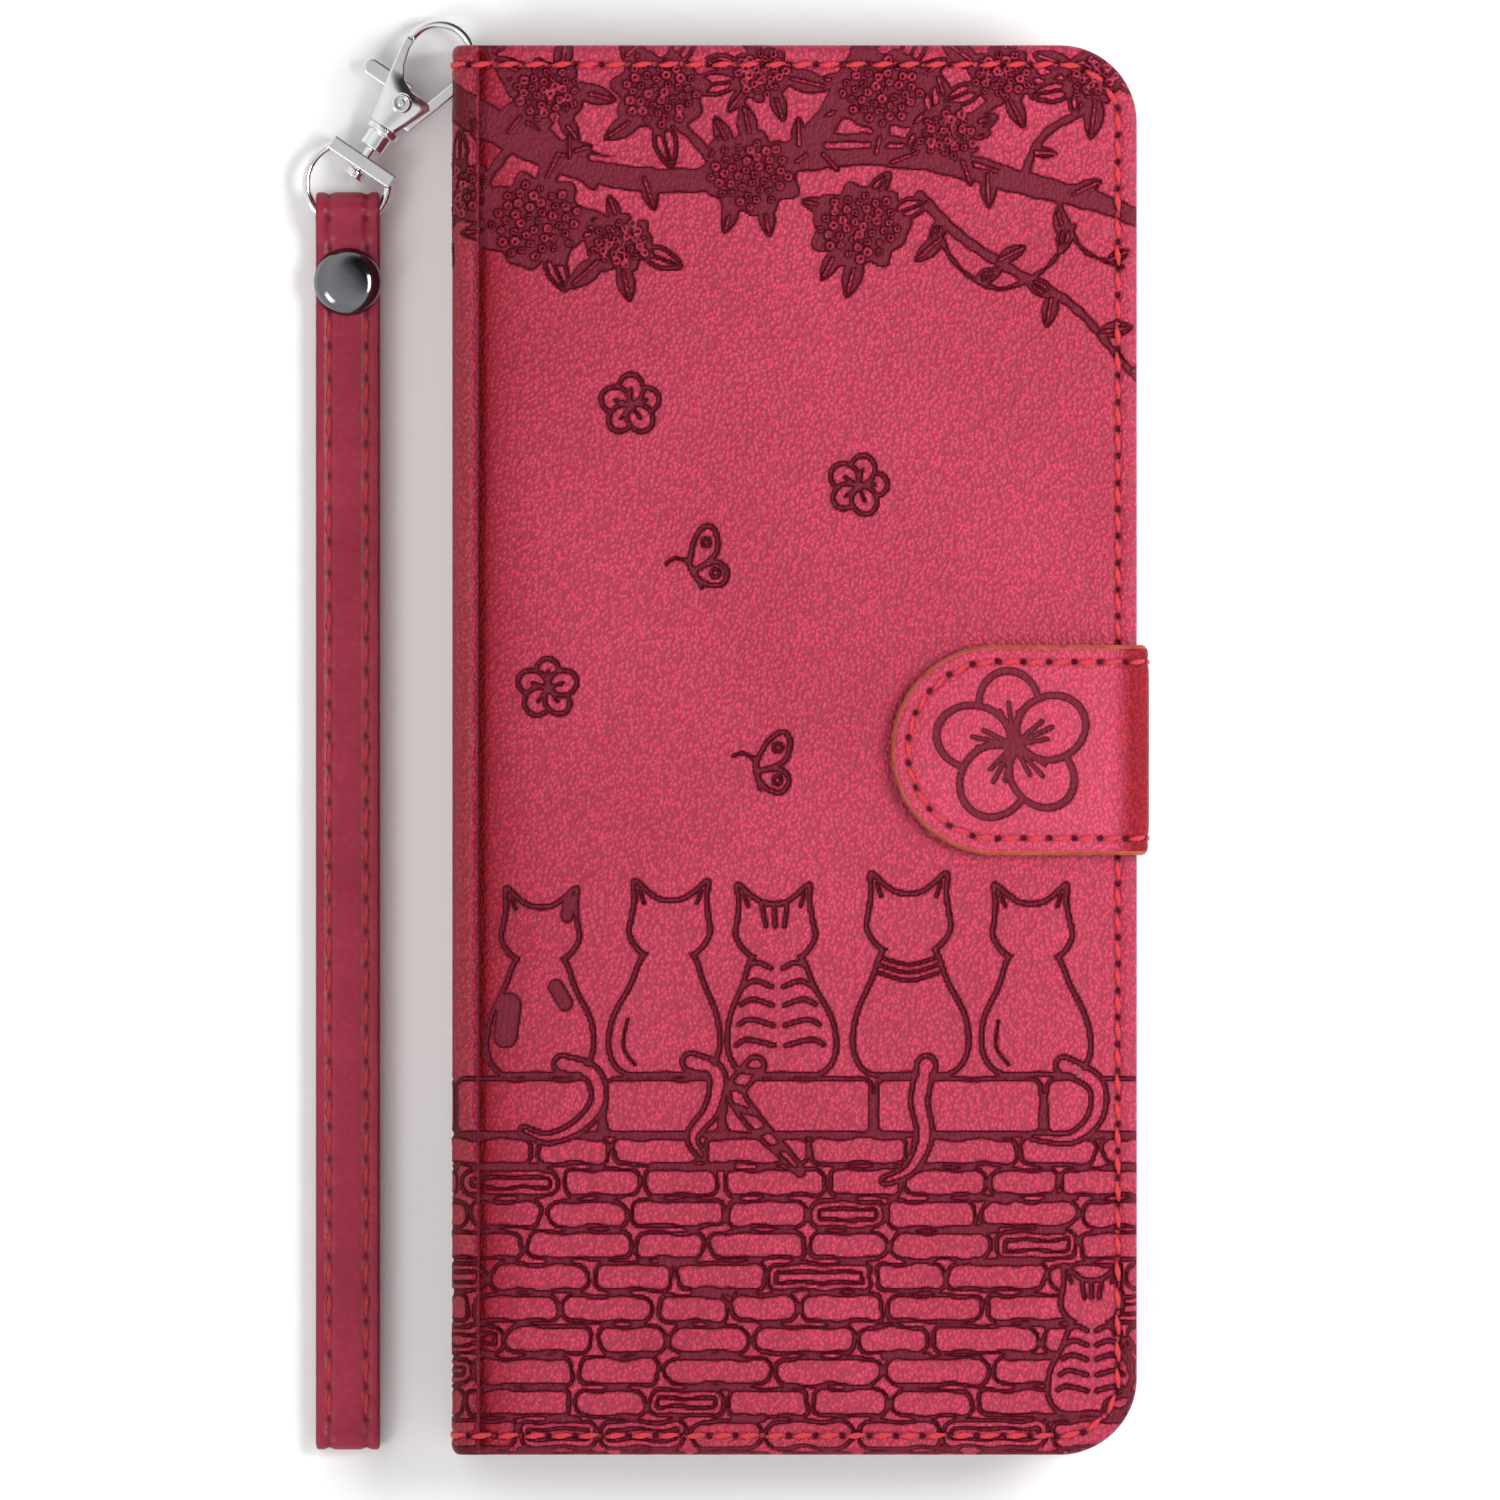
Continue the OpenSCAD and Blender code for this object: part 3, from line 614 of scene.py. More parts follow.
def seatedCat(drawing, cx, baseY, size, flip, lean, coat, tail):
    def put(points):
        p = np.array(points, float)
        p[:, 0] += lean * p[:, 1]
        return p * [flip * size, size] + [cx, baseY]

    body = softPath(put([
        (0, 0), (4.6, 0), (6.6, 2.4), (6.4, 6.4), (4.4, 10.4), (2.9, 14), (0, 15.4),
        (-2.8, 14), (-4.2, 10.6), (-5.9, 6.6), (-6.2, 2.6), (-4.4, 0),
    ]), True)
    head = softPath(put([
        (0, 13.4), (3, 14), (4.7, 16.2), (4.5, 18.4), (4.25, 20.4), (4.3, 22.6), (2.6, 21.3),
        (1.4, 20.5), (0, 20.3), (-1.4, 20.5), (-2.7, 21.3), (-4.3, 22.6), (-4.25, 20.4),
        (-4.5, 18.4), (-4.7, 16.2), (-3, 14),
    ]), True)
    tailPath = softPath(put(tail))
    tailShare = np.linspace(0, 1, len(tailPath))
    tailWide = np.interp(tailShare, [0, 0.5, 1], [2.1, 1.8, 0.9]) * size
    marks = []
    if coat == "stripes":
        for level in (3.2, 5.6, 8, 10.2, 12.4):
            half = 1.5 + (12.4 - level) * 0.16
            for side in (-1, 1):
                bar = [(half + 2.2, level + 0.3), (half + 0.8, level + 0.9), (0.7, level + 0.2)]
                marks.append((softPath(put([(side * bx, by) for bx, by in bar])), 0.55))
        for side in (-1, 0, 1):
            marks.append((put([(side * 1.5, 20), (side * 1.1, 17.6)]), 0.5))
    if coat == "scarf":
        for level in (13.2, 12.3, 11.4):
            marks.append((softPath(put([(-3.4, level), (0, level - 0.9), (3.4, level)])), 0.4))
    if coat == "patch":
        marks.append((put([(3.5, 21.2), (3.2, 19.2)]), 1.5))
        marks.append((put([(-3.6, 8.4), (-4, 4.6)]), 2.8))
        marks.append((put([(2, 10.6), (3.2, 8.6)]), 1.8))
    if coat == "plain":
        marks.append((softPath(put([(3.6, 1.1), (5, 3.2), (4.6, 6.4)])), 0.3))
    for side in (-1, 1):
        marks.append((put([(side * 3.6, 21.4), (side * 3.1, 20)]), 0.42))

    def draw(x, y):
        gap = np.minimum(insideDistance(x, y, body), insideDistance(x, y, head))
        tailGap = lineDistance(x, y, tailPath, tailWide)
        hidden = fillInk(np.minimum(gap, tailGap))
        value = np.maximum(ink(gap, 0.55), ink(np.where(tailGap < gap, tailGap, 9), 0.5))
        value = np.maximum(value * (1 - fillInk(tailGap + 0.5)), ink(tailGap, 0.5))
        for path, width in marks:
            mark = fillInk(lineDistance(x, y, path) - width / 2)
            value = np.maximum(value, mark * (gap < 0))
        if coat == "stripes":
            along = (y - baseY) / size
            bars = step01(np.sin(along * 2.6 + 0.8 * np.sin(x)), 0.2, 0.6)
            value = np.maximum(value, bars * fillInk(tailGap + 0.15))
        edge = 1 - step01(np.minimum(gap, tailGap), 0.1, 0.5)
        return np.maximum(hidden, edge), value

    box = (cx - 11 * size, baseY - 14 * size, cx + 11 * size, baseY + 24 * size)
    drawing.stamp(box, draw, erase=True)


def flowerBunch(drawing, cx, cy, size, rng):
    count = int(7.5 * size)
    spots = []
    for k in range(count):
        a, r = k * 2.4, size * 0.92 * math.sqrt((k + 0.3) / count)
        sx = cx + r * math.cos(a) + rng.uniform(-0.15, 0.15)
        spots.append((sx, cy + r * math.sin(a) * 0.85, rng.uniform(0.38, 0.62)))
    phase = rng.uniform(0, 6)

    def draw(x, y):
        bearing = np.arctan2(y - cy, x - cx)
        rim = size * (1.1 + 0.08 * np.sin(7 * bearing + phase) + 0.06 * np.sin(11 * bearing))
        blob = fillInk(np.hypot(x - cx, (y - cy) / 0.85) - rim)
        beads = np.full(x.shape, 9.0)
        dots = np.zeros(x.shape)
        for sx, sy, r in spots:
            gap = np.hypot(x - sx, y - sy)
            beads = np.minimum(beads, gap - r)
            dots = np.maximum(dots, fillInk(gap - 0.14))
        return blob, np.maximum(1 - fillInk(beads), dots)

    reach = size * 1.35
    drawing.stamp((cx - reach, cy - reach, cx + reach, cy + reach), draw, erase=True)


def leaf(drawing, cx, cy, length, angle, dark):
    rim = [(0, 0), (0.25, 0.2), (0.6, 0.22), (1, 0), (0.6, -0.2), (0.25, -0.17)]
    shape = softPath(turned(rim, angle, length, (cx, cy)), True)
    rib = turned([(0.05, 0), (0.85, 0)], angle, length, (cx, cy))
    reach = length + 1

    def draw(x, y):
        gap = insideDistance(x, y, shape)
        if dark:
            return fillInk(gap), 1 - ink(lineDistance(x, y, rib), 0.3)
        veined = np.maximum(ink(gap, 0.45), ink(lineDistance(x, y, rib), 0.28))
        return fillInk(gap - 0.2), veined

    drawing.stamp((cx - reach, cy - reach, cx + reach, cy + reach), draw, erase=True)


# A limb, or with raised a streak of bark that stands up on it.
def branch(drawing, points, wide, narrow, raised):
    path = softPath(points, False, 5)
    widths = np.linspace(wide, narrow, len(path))
    low, high = path.min(0) - 2.5, path.max(0) + 2.5

    def draw(x, y):
        bark = 0.12 * np.sin(1.7 * x) * np.sin(2.1 * y + 1)
        gap = lineDistance(x, y, path, widths) + bark
        return fillInk(gap), np.full(x.shape, 0.0 if raised else 1.0)

    drawing.stamp((*low, *high), draw, erase=True)


wall = {
    "top": -39, "cap": 6.9, "bottom": -84, "left": -66, "right": 44,
    "course": 3.75, "brick": 11.2, "mortar": 0.95, "slabShort": 13, "slabLong": 22,
    "worn": 0.16,  # share of the bricks that have an inner line
    "patches": 46,
}
# place, size, facing, lean, coat and the tail's line
cats = [
    (-30.6, 0.98, 1, 0.02, "patch",
     [(3, 1.2), (6.6, 0), (7.4, -3.4), (5, -6.4), (1.4, -7.8), (-1.6, -6.8)]),
    (-15.4, 1.02, -1, -0.03, "plain", [(-3, 1.4), (-6, 0), (-5.6, -4), (-3.4, -7.2), (-4.6, -9.6)]),
    (-1.6, 1.0, 1, -0.04, "stripes", [(-3, 1), (-5.4, -2.2), (-3, -6.2), (-0.4, -9), (1.8, -11.6)]),
    (13.6, 1.06, 1, 0.0, "scarf", [(2, 1), (1.2, -3), (1.8, -7), (0.2, -10.6), (-2.6, -12)]),
    (29.2, 1.0, -1, 0.05, "plain", [(-3, 1), (-6.6, -1.2), (-6.4, -5), (-3.4, -7.6), (1, -7.4)]),
]
# place and size
bunches = [
    (-31, 63, 5.8), (-20.8, 60.4, 3.6), (-5.2, 68.6, 5.2), (7.8, 62.4, 5.2), (-16, 78.4, 5),
    (-29.4, 78.2, 4.2), (10.4, 78.6, 5.2), (18.2, 73.4, 3.6), (-40.4, 66.6, 4),
    (24.6, 80.4, 3.6), (-4, 80.6, 3.4), (35.4, 80, 3.2),
]
# line, width at its start and end, and whether it is a raised streak
branches = [
    ([(-44, 79), (-34, 73.4), (-24, 69.4), (-14, 68.2), (-4, 69.4), (3, 74), (7, 81), (9, 85)],
     4.2, 2.6, False),
    ([(-3, 70.4), (8, 71.6), (17, 70.4), (27, 67.6), (37, 65), (46, 61)], 4.2, 1.8, False),
    ([(-24, 70.6), (-14, 69.6), (-4, 71), (1, 74.4)], 0.9, 0.5, True),
    ([(4, 72), (14, 71.8), (24, 69)], 0.9, 0.5, True),
    ([(-24, 67.4), (-29, 73), (-34, 79), (-37, 85)], 1.3, 0.7, False),
    ([(-8, 67.6), (-12, 73), (-18, 78), (-21, 85)], 1.3, 0.7, False),
    ([(17, 70.4), (22, 76), (29, 79.4), (38, 85)], 1.3, 0.8, False),
    ([(15, 66), (20, 61), (27, 56.6), (33, 53), (38, 47.6), (41, 44)], 1.3, 0.7, False),
    ([(17, 64.6), (18.6, 58.6), (24, 55), (30, 57.4), (33.4, 62.6)], 0.45, 0.4, False),
    ([(-34, 71.6), (-40, 64), (-44, 60)], 1.2, 0.6, False),
    ([(27, 67.8), (30, 73.6), (36, 77), (40, 83)], 1, 0.6, False),
    ([(31, 66.8), (34, 60), (39, 57.6)], 0.6, 0.4, False),
]


def drawFront(x, y):
    drawing = Drawing(x, y)
    brickWall(drawing, wall)
    raisedTail = [(-3, 1), (-6, 2.6), (-7, 7), (-5.4, 11)]
    seatedCat(drawing, 35.4, -79, 0.78, -1, 0.0, "stripes", raisedTail)
    for cx, size, flip, lean, coat, tail in cats:
        seatedCat(drawing, cx, wall["top"] + 0.4, size, flip, lean, coat, tail)
    rng = np.random.default_rng(23)
    for points, wide, narrow, raised in branches:
        branch(drawing, points, wide, narrow, raised)
    darkShare = 0.6  # share of the leaves that are pressed all over
    for cx, cy, size in bunches:
        for k in range(5):
            a = k * 72 + rng.uniform(-24, 24)
            lx = cx + size * 0.75 * math.cos(math.radians(a))
            ly = cy + size * 0.65 * math.sin(math.radians(a))
            leaf(drawing, lx, ly, rng.uniform(3.6, 6), a + rng.uniform(-25, 25),
                 rng.random() < darkShare)
    for points, wide, narrow, raised in branches:
        path = softPath(points, False, 5)
        for k in range(3, 0 if raised else len(path) - 2, 5):
            side = 1 if (k // 6) % 2 else -1
            heading = math.degrees(math.atan2(*(path[k + 1] - path[k])[::-1]))
            leaf(drawing, path[k][0], path[k][1], rng.uniform(2.6, 4.4),
                 heading + side * rng.uniform(35, 75), rng.random() < darkShare)
    for cx, cy, size in bunches:
        flowerBunch(drawing, cx, cy, size, rng)
    for cx, cy, angle in ((-19.5, 41.1, 18), (7.6, 31.5, 4), (-29.4, 7.4, 90)):
        blossom(drawing, cx, cy, 6.6, angle)
    butterfly(drawing, -12.2, 21.4, 8, 1)
    butterfly(drawing, -4.6, -2.4, -10, 1)
    return drawing.press


def drawBack(x, y):
    drawing = Drawing(x, y)
    brickWall(drawing, wall)
    for cx, cy, angle in ((-14, 20, 40), (12, 2, 10), (-24, -16, 70)):
        blossom(drawing, cx, cy, 6.6, angle)
    butterfly(drawing, 22, 24, -12, -1)
    return drawing.press


cover = {
    "front": {"cell": 0.25, "turn": 2.7, "panel": drawFront},
    "back": {"cell": 0.5, "turn": 1.65, "panel": drawBack},
    "pressDeep": 0.42,  # how far the plate pressed the drawing in
    "lip": 0.2,  # share of it that is pushed up beside a line
    "roll": 1.1,  # radius of the turned edge
    "skin": 0.78,
    "creaseDeep": 0.6, "creaseWide": 0.6, "creaseSlope": 0.5, "slopeLong": 2.4,
    "seamInset": 2.3, "seamDeep": 0.2, "seamWide": 0.5,
    "stitch": 3.2, "holeReach": 1.5, "hole": 0.4, "holeDeep": 0.3,
    "fold": 1.0,  # half width of the leather that bends at a crease
    "bendFrom": 12,  # columns right of this close up at the round corners
    "corner": 9.2, "shoulder": 2.2,
}
# painted shade in the needle holes, crease and seam groove, from 0 to 1; the strength of the
# painted spine reflection; how far the painted fold shade reaches; and how the grain lies
tones = {
    "hole": 0.55, "crease": 0.26, "groove": 0.16, "spineReflection": 0.85,
    "foldShadeLong": 3.6, "grainSquash": 0.76,
}
xLeft, xFold = spineLow[0], frontLow[0]
xRight = frontHigh[0]
halfHeight = frontHigh[1]
thick = frontHigh[2]
xFlat = xLeft + cover["shoulder"]
arcLong = cover["shoulder"] * math.pi / 2


# The spine's section: place and outward direction for a distance u across the leather.
def section(u):
    r = cover["shoulder"]
    a = np.clip((xFlat - u) / r, 0, math.pi / 2)
    below = np.maximum(xFlat - arcLong - u, 0)
    x = np.where(u >= xFlat, u, xFlat - r * np.sin(a))
    depth = r - r * np.cos(a) + below
    return x, depth, -np.sin(a), np.cos(a)


def acrossOf(x, depth):
    r = cover["shoulder"]
    a = np.arctan2(np.maximum(xFlat - x, 0), np.maximum(r - depth, 1e-6))
    wallPart = np.maximum(depth - r, 0)
    return np.where(x >= xFlat, x, np.where(depth < r, xFlat - r * a, xFlat - arcLong - wallPart))


def seamGap(u, y):
    inset = cover["seamInset"]
    r = cover["corner"] - inset
    pastX = u - (xRight - cover["corner"])
    pastY = np.abs(y) - (halfHeight - cover["corner"])
    return roundedGap(pastX, pastY, r)


# Points on the seam, one stitch apart, with the direction in which it runs.
def seamStations(uStart, uEnd):
    inset = cover["seamInset"]
    r = cover["corner"] - inset
    xc, yc = xRight - cover["corner"], halfHeight - cover["corner"]
    arc = np.linspace(math.pi / 2, 0, 60)
    path = [(uStart, halfHeight - inset)]
    path += [(xc + r * math.cos(a), yc + r * math.sin(a)) for a in arc]
    path += [(xc + r * math.cos(a), -yc - r * math.sin(a)) for a in arc[::-1]]
    path += [(uEnd, inset - halfHeight)]
    return evenly(np.array(path), cover["stitch"])


def evenly(path, pitch):
    lengths = np.hypot(*np.diff(path, axis=0).T)
    travel = np.concatenate([[0], np.cumsum(lengths)])
    count = int(round(travel[-1] / pitch))
    at = (np.arange(count) + 0.5) * travel[-1] / count
    spots = np.stack([np.interp(at, travel, path[:, k]) for k in (0, 1)], 1)
    ahead = np.stack([np.interp(at + 0.3, travel, path[:, k]) for k in (0, 1)], 1)
    behind = np.stack([np.interp(at - 0.3, travel, path[:, k]) for k in (0, 1)], 1)
    heading = ahead - behind
    return spots, heading / np.hypot(heading[:, 0], heading[:, 1])[:, None]


# How deep a point is in a needle hole; each stitch has one at both of its ends.
def holeField(u, y, spots, heading, sewn):
    reach, radius = sewn["holeReach"], sewn["hole"]
    field = np.zeros(u.shape)
    for (sx, sy), (hx, hy) in zip(spots, heading):
        for side in (-1, 1):
            px, py = sx + side * reach * hx, sy + side * reach * hy
            pick = (np.abs(u - px) < 1) & (np.abs(y - py) < 1)
            gap = np.hypot(u[pick] - px, y[pick] - py)
            field[pick] = np.maximum(field[pick], 1 - step01(gap, radius * 0.4, radius * 1.4))
    return field


def coverHeight(u, y, press, holes):
    gap = seamGap(u, y)
    groove = np.exp(-((gap / cover["seamWide"]) ** 2)) * cover["seamDeep"]
    crease = creaseShape(u) * cover["creaseDeep"]
    falling = np.exp(-np.maximum(u - xFold, 0) / cover["slopeLong"])
    slope = np.where(u > xFold, falling, creaseShape(u)) * cover["creaseSlope"]
    # the drawing is pressed less deep at the crease and down the spine
    less = (1 - 0.6 * creaseShape(u)) * (1 - 0.6 * step01(xFlat - u, 0, 1.5))
    deepest = press * cover["pressDeep"] * less
    return -(deepest + groove + crease + slope + holes * cover["holeDeep"])


# A sheet of leather from a grid of points: column 0 is a cut end, the other three
# sides are turned over a round edge, and the inside is closed.
def buildSheet(name, u, y, high, rowTurn, lift, make):
    rows, cols = u.shape
    roll, skin, sign = make["roll"], make["skin"], make.get("sign", 1)
    face = lift(u, y, high)
    ring = [(rows - 1, i) for i in range(cols)] + [(j, cols - 1) for j in range(rows - 2, -1, -1)]
    ring += [(0, i) for i in range(cols - 2, -1, -1)]
    ringJ, ringI = np.array(ring).T
    onEnd = ringI == cols - 1
    outX = np.where(onEnd, np.cos(rowTurn[ringJ]), 0) * sign
    outY = np.where(onEnd, np.sin(rowTurn[ringJ]), np.where(ringJ == 0, -1.0, 1.0))
    ringU, ringY, ringHigh = u[ringJ, ringI], y[ringJ, ringI], high[ringJ, ringI]
    turnDeep, inside = make["deep"](ringU), make["inside"](ringU)
    rings = []

    def ringAt(out, down):
        place = lift(ringU, ringY, -down)
        place[:, 0] += outX * out
        place[:, 1] += outY * out
        rings.append(place)

    for a in np.radians([16, 32, 48, 64, 80, 90]):
        drop = roll * (1 - math.cos(a)) * np.minimum(1, (turnDeep - 0.1) / roll)
        ringAt(roll * math.sin(a), drop - ringHigh * (1 - math.sin(a)))
    ringAt(roll, turnDeep)
    ringAt(roll - skin, turnDeep)
    ringAt(roll - skin, np.minimum(inside, turnDeep - 0.05))
    verts = np.concatenate([face.reshape(-1, 3)] + rings)
    size, start = len(ring), rows * cols
    loops = [ringJ * cols + ringI] + [start + k * size + np.arange(size) for k in range(len(rings))]
    faces = [tuple(q) for q in gridFaces(rows, cols).tolist()]
    slots = [0] * len(faces)
    for k, (a, b) in enumerate(zip(loops[:-1], loops[1:])):
        strip = np.stack([a[:-1], a[1:], b[1:], b[:-1]], -1).tolist()
        faces += [tuple(q) for q in strip]
        slots += [1 if k >= make.get("paintFrom", 99) else 0] * len(strip)
    last = loops[-1].tolist()
    ends = [(last[i], last[i + 1], last[size - 2 - i], last[size - 1 - i]) for i in range(cols - 1)]
    ends.append(tuple(last[cols - 1 : cols - 1 + rows]))
    cut = [j * cols for j in range(rows)] + [int(loop[0]) for loop in loops[1:]]
    ends.append(tuple(cut + [int(loop[-1]) for loop in loops[:0:-1]]))
    slots += [0] * len(ends)
    return facesOutward(newPiece(name, verts, faces + ends, make["materials"], slots))


def blurred(field, times):
    for _ in range(times):
        wide = np.pad(field, 1, mode="edge")
        near = wide[:-2, 1:-1] + wide[2:, 1:-1] + wide[1:-1, :-2] + wide[1:-1, 2:]
        field = (near + 2 * field) / 6
    return field


def onCover(side):
    def lift(u, y, h):
        x, depth, nx, nz = section(u)
        z = -depth + nz * h
        return np.stack([x + nx * h, y, thick + z if side > 0 else -z], -1)

    return lift


def creaseShape(u):
    return np.exp(-(((u - xFold) / cover["creaseWide"]) ** 2))


def seamOf(part):
    return seamStations(part["seamFrom"], part["seamTo"])


def buildCover(name, side, part):
    cell, roll = part["cell"], cover["roll"]
    baseRight, baseR = xRight - roll, cover["corner"] - roll
    yc = halfHeight - cover["corner"]
    xBend = cover["bendFrom"]
    columns = np.concatenate([
        np.linspace(uMiddle, xFlat - arcLong, 16)[:-1],
        np.arange(xFlat - arcLong, baseRight, cell),
        [baseRight],
    ])
    corner = np.linspace(0, math.pi / 2, int(baseR * math.pi / 2 / cell) + 1)[1:]
    middle = np.linspace(-yc, yc, int(2 * yc / cell) + 1)
    ends = yc + baseR * np.sin(corner)
    rowY = np.concatenate([-ends[::-1], middle, ends])
    rowTurn = np.concatenate([-corner[::-1], 0 * middle, corner])
    rowRight = baseRight - baseR + baseR * np.cos(rowTurn)
    share = np.clip((columns - xBend) / (baseRight - xBend), 0, None)[None, :]
    closing = xBend + share * (rowRight[:, None] - xBend)
    u = np.where(columns[None, :] > xBend, closing, columns[None, :])
    y = np.repeat(rowY[:, None], len(columns), 1)
    press = part["panel"](u, y)
    lips = np.maximum(blurred(press, 4) - press, 0) * cover["lip"]
    high = coverHeight(u, y, press, holeField(u, y, *seamOf(part), cover)) + lips

    def deep(e):
        return 0.95 + (part["turn"] - 0.95) * step01(e, xFold - 0.2, xFold + 0.8)

    def inside(e):
        sunk = cover["creaseDeep"] + cover["creaseSlope"]
        return cover["skin"] + 0.9 * sunk * creaseShape(e)

    make = {
        "roll": roll, "skin": cover["skin"], "materials": [coverLeather],
        "deep": deep, "inside": inside,
    }
    return buildSheet(name, u, y, high, rowTurn, onCover(side), make)


# Writes on each point how dark it is pressed, with painted shade in the crease, seam groove and
# needle holes, the painted reflection down the spine, the painted shade beside the fold, and where
# it lies on the flat leather.
def markCover(piece, side, part):
    co = placesOf(piece)
    depth = thick - co[:, 2] if side > 0 else co[:, 2]
    u = acrossOf(co[:, 0], depth)
    y = co[:, 1]
    outer = np.where(co[:, 0] > xFlat, depth < 0.74 + 0.9 * creaseShape(u), co[:, 0] - xLeft < 2.4)
    holes = holeField(u, y, *seamOf(part), cover) * tones["hole"]
    crease = creaseShape(u) * tones["crease"]
    groove = np.exp(-((seamGap(u, y) / 0.36) ** 2)) * tones["groove"]
    tone = np.maximum.reduce([part["panel"](u, y), holes, crease, groove]) * outer
    fading = np.exp(-np.maximum(u - xFold, 0) / tones["foldShadeLong"])
    setValues(piece, "pressedAndShade", np.clip(tone, 0, 1))
    setValues(piece, "spineReflection", tones["spineReflection"] * (1 - step01(u, xFold - 0.9, xFold - 0.3)))
    setValues(piece, "foldShade", np.where(u > xFold - 0.3, fading, 0) * outer)
    setValues(piece, "grainPlace", np.stack([u, y * tones["grainSquash"], depth * 0.7], -1))


def bendAtCrease(piece, side):
    if side > 0:
        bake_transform(piece)
    else:
        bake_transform(piece)


# One mesh of stitches. Each is a twisted pair of plies that dives into the leather at
# both ends; lift gives the place on the leather for a point across and along it.
def sewStitches(name, spots, heading, lift, sew, material):
    rings, around = 13, 12
    t = np.linspace(-1, 1, rings)
    turn = np.arange(around) / around * 2 * math.pi
    unit = gridFaces(rings, around, closedCols=True)
    verts, faces, plies = [], [], []
    slant = math.radians(sew["slant"])
    for k, ((su, sy), (hu, hy)) in enumerate(zip(spots, heading)):
        du = hu * math.cos(slant) - hy * math.sin(slant)
        dy = hu * math.sin(slant) + hy * math.cos(slant)
        along = t * sew["long"] / 2
        radius = sew["wide"] / 2 * (1 - np.abs(t) ** 3.2 * 0.55)
        ply = 1 + 0.16 * np.cos(2 * (turn[None, :] - 2.4 * t[:, None]))
        side = radius[:, None] * ply * np.cos(turn)[None, :]
        rise = radius[:, None] * ply * np.sin(turn)[None, :]
        rise = rise + sew["high"] - sew["dive"] * np.abs(t[:, None]) ** 4
        u = su + along[:, None] * du - side * dy
        y = sy + along[:, None] * dy + side * du
        verts.append(lift(u.ravel(), y.ravel(), rise.ravel()))
        base = k * (rings * around)
        faces += [tuple(q) for q in (unit + base).tolist()]
        faces.append(tuple(range(base + around - 1, base - 1, -1)))
        faces.append(tuple(range(base + (rings - 1) * around, base + rings * around)))
        wound = np.repeat(along, around) + k * 7.3
        plies.append(np.stack([wound, np.tile(turn, rings) * 0.3, 0 * wound], -1))
    piece = newPiece(name, np.concatenate(verts), faces, [material], sharp=80)
    setValues(piece, "plyPlace", np.concatenate(plies))
    return piece


uMiddle = xFlat - arcLong - (thick / 2 - cover["shoulder"])
cover["front"].update(seamFrom=uMiddle + 0.4, seamTo=uMiddle + 0.4)
cover["back"].update(seamFrom=xFlat + 1.2, seamTo=uMiddle + 0.4)
coverSew = {"long": 2.4, "wide": 0.6, "slant": 8, "high": -0.04, "dive": 0.4}

front = buildCover("front_leather", 1, cover["front"])
markCover(front, 1, cover["front"])
bendAtCrease(front, 1)
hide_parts("front_skin", "spine_skin")
frontStitches = sewStitches(
    "front_stitches", *seamOf(cover["front"]), onCover(1), coverSew, redThread
)
bendAtCrease(frontStitches, 1)
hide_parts("front_thread", "spine_thread")
print("front cover pressed and sewn")


# A cutter with round corners, as wide and high as its hole, from low to top on its axis.
def roundPrism(name, axis, centre, hole, low, top):
    radius = hole["corner"]
    wide, high = hole["wide"] / 2 - radius, hole["high"] / 2 - radius
    outline = []
    for sx, sy, start in ((1, 1, 0), (-1, 1, 90), (-1, -1, 180), (1, -1, 270)):
        for a in np.radians(np.linspace(start, start + 90, 9)):
            outline.append((centre[0] + sx * wide + radius * math.cos(a),
                            centre[1] + sy * high + radius * math.sin(a)))
    count = len(outline)
    verts = [(p, q, e) if axis == "z" else (e, p, q) for e in (low, top) for p, q in outline]
    faces = [tuple(range(count))[::-1], tuple(range(count, 2 * count))]
    faces += [(k, (k + 1) % count, (k + 1) % count + count, k + count) for k in range(count)]
    return newPiece(name, verts, faces, [])


def cutAway(piece, cutter):
    change = piece.modifiers.new("cut", "BOOLEAN")
    change.operation, change.solver, change.object = "DIFFERENCE", "MANIFOLD", cutter
    meshAfterModifiers(piece)
    bpy.data.objects.remove(cutter)


rear = buildCover("back_leather", -1, cover["back"])
trayLow, trayHigh = boxOf("phone_shell")
window = {"wide": 32, "high": 38, "corner": 6, "fromSide": 3.8, "fromTop": 2.75}
windowPlace = (trayHigh[0] - window["fromSide"] - window["wide"] / 2,
               trayHigh[1] - window["fromTop"] - window["high"] / 2)
cutAway(rear, roundPrism("cutWindow", "z", windowPlace, window, -2, 4))
strapSlot = {"wide": 5.4, "high": 4.2, "corner": 1, "fromTop": 4.3, "z": 3.3}
slotPlace = (halfHeight - strapSlot["fromTop"], strapSlot["z"])
cutAway(rear, roundPrism("cutSlot", "x", slotPlace, strapSlot, xLeft - 1, xFold))
markCover(rear, -1, cover["back"])
rear.data.set_sharp_from_angle(angle=math.radians(38))
bendAtCrease(rear, -1)
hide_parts("back_skin")
backSew = dict(coverSew, high=-0.32)  # sunk, because the case lies on this side
backStitches = sewStitches(
    "back_stitches", *seamOf(cover["back"]), onCover(-1), backSew, redThread
)
bendAtCrease(backStitches, -1)
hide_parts("back_thread")
print("back cover pressed and sewn")

tab = {
    "roll": 0.95, "skin": 0.5, "deep": 0.96, "bend": 1.5, "underBend": 0.8,
    "seamInset": 2.0, "seamDeep": 0.16, "seamWide": 0.42,
    "stitch": 3.05, "holeReach": 1.42, "hole": 0.38, "holeDeep": 0.22,
    "cell": 0.24, "pressDeep": 0.2, "crown": 0.12,
    "bendFrom": 34,  # columns left of this close up towards the round end
}
tabTop, tabSide = tabHigh[2], tabHigh[0]
tabHalf = tabHigh[1]
tabCentre = tabLow[0] + tabHalf
tabMiddle = tabTop / 2
tabEnd = tabSide - tab["bend"]
tabArc = tab["bend"] * math.pi / 2


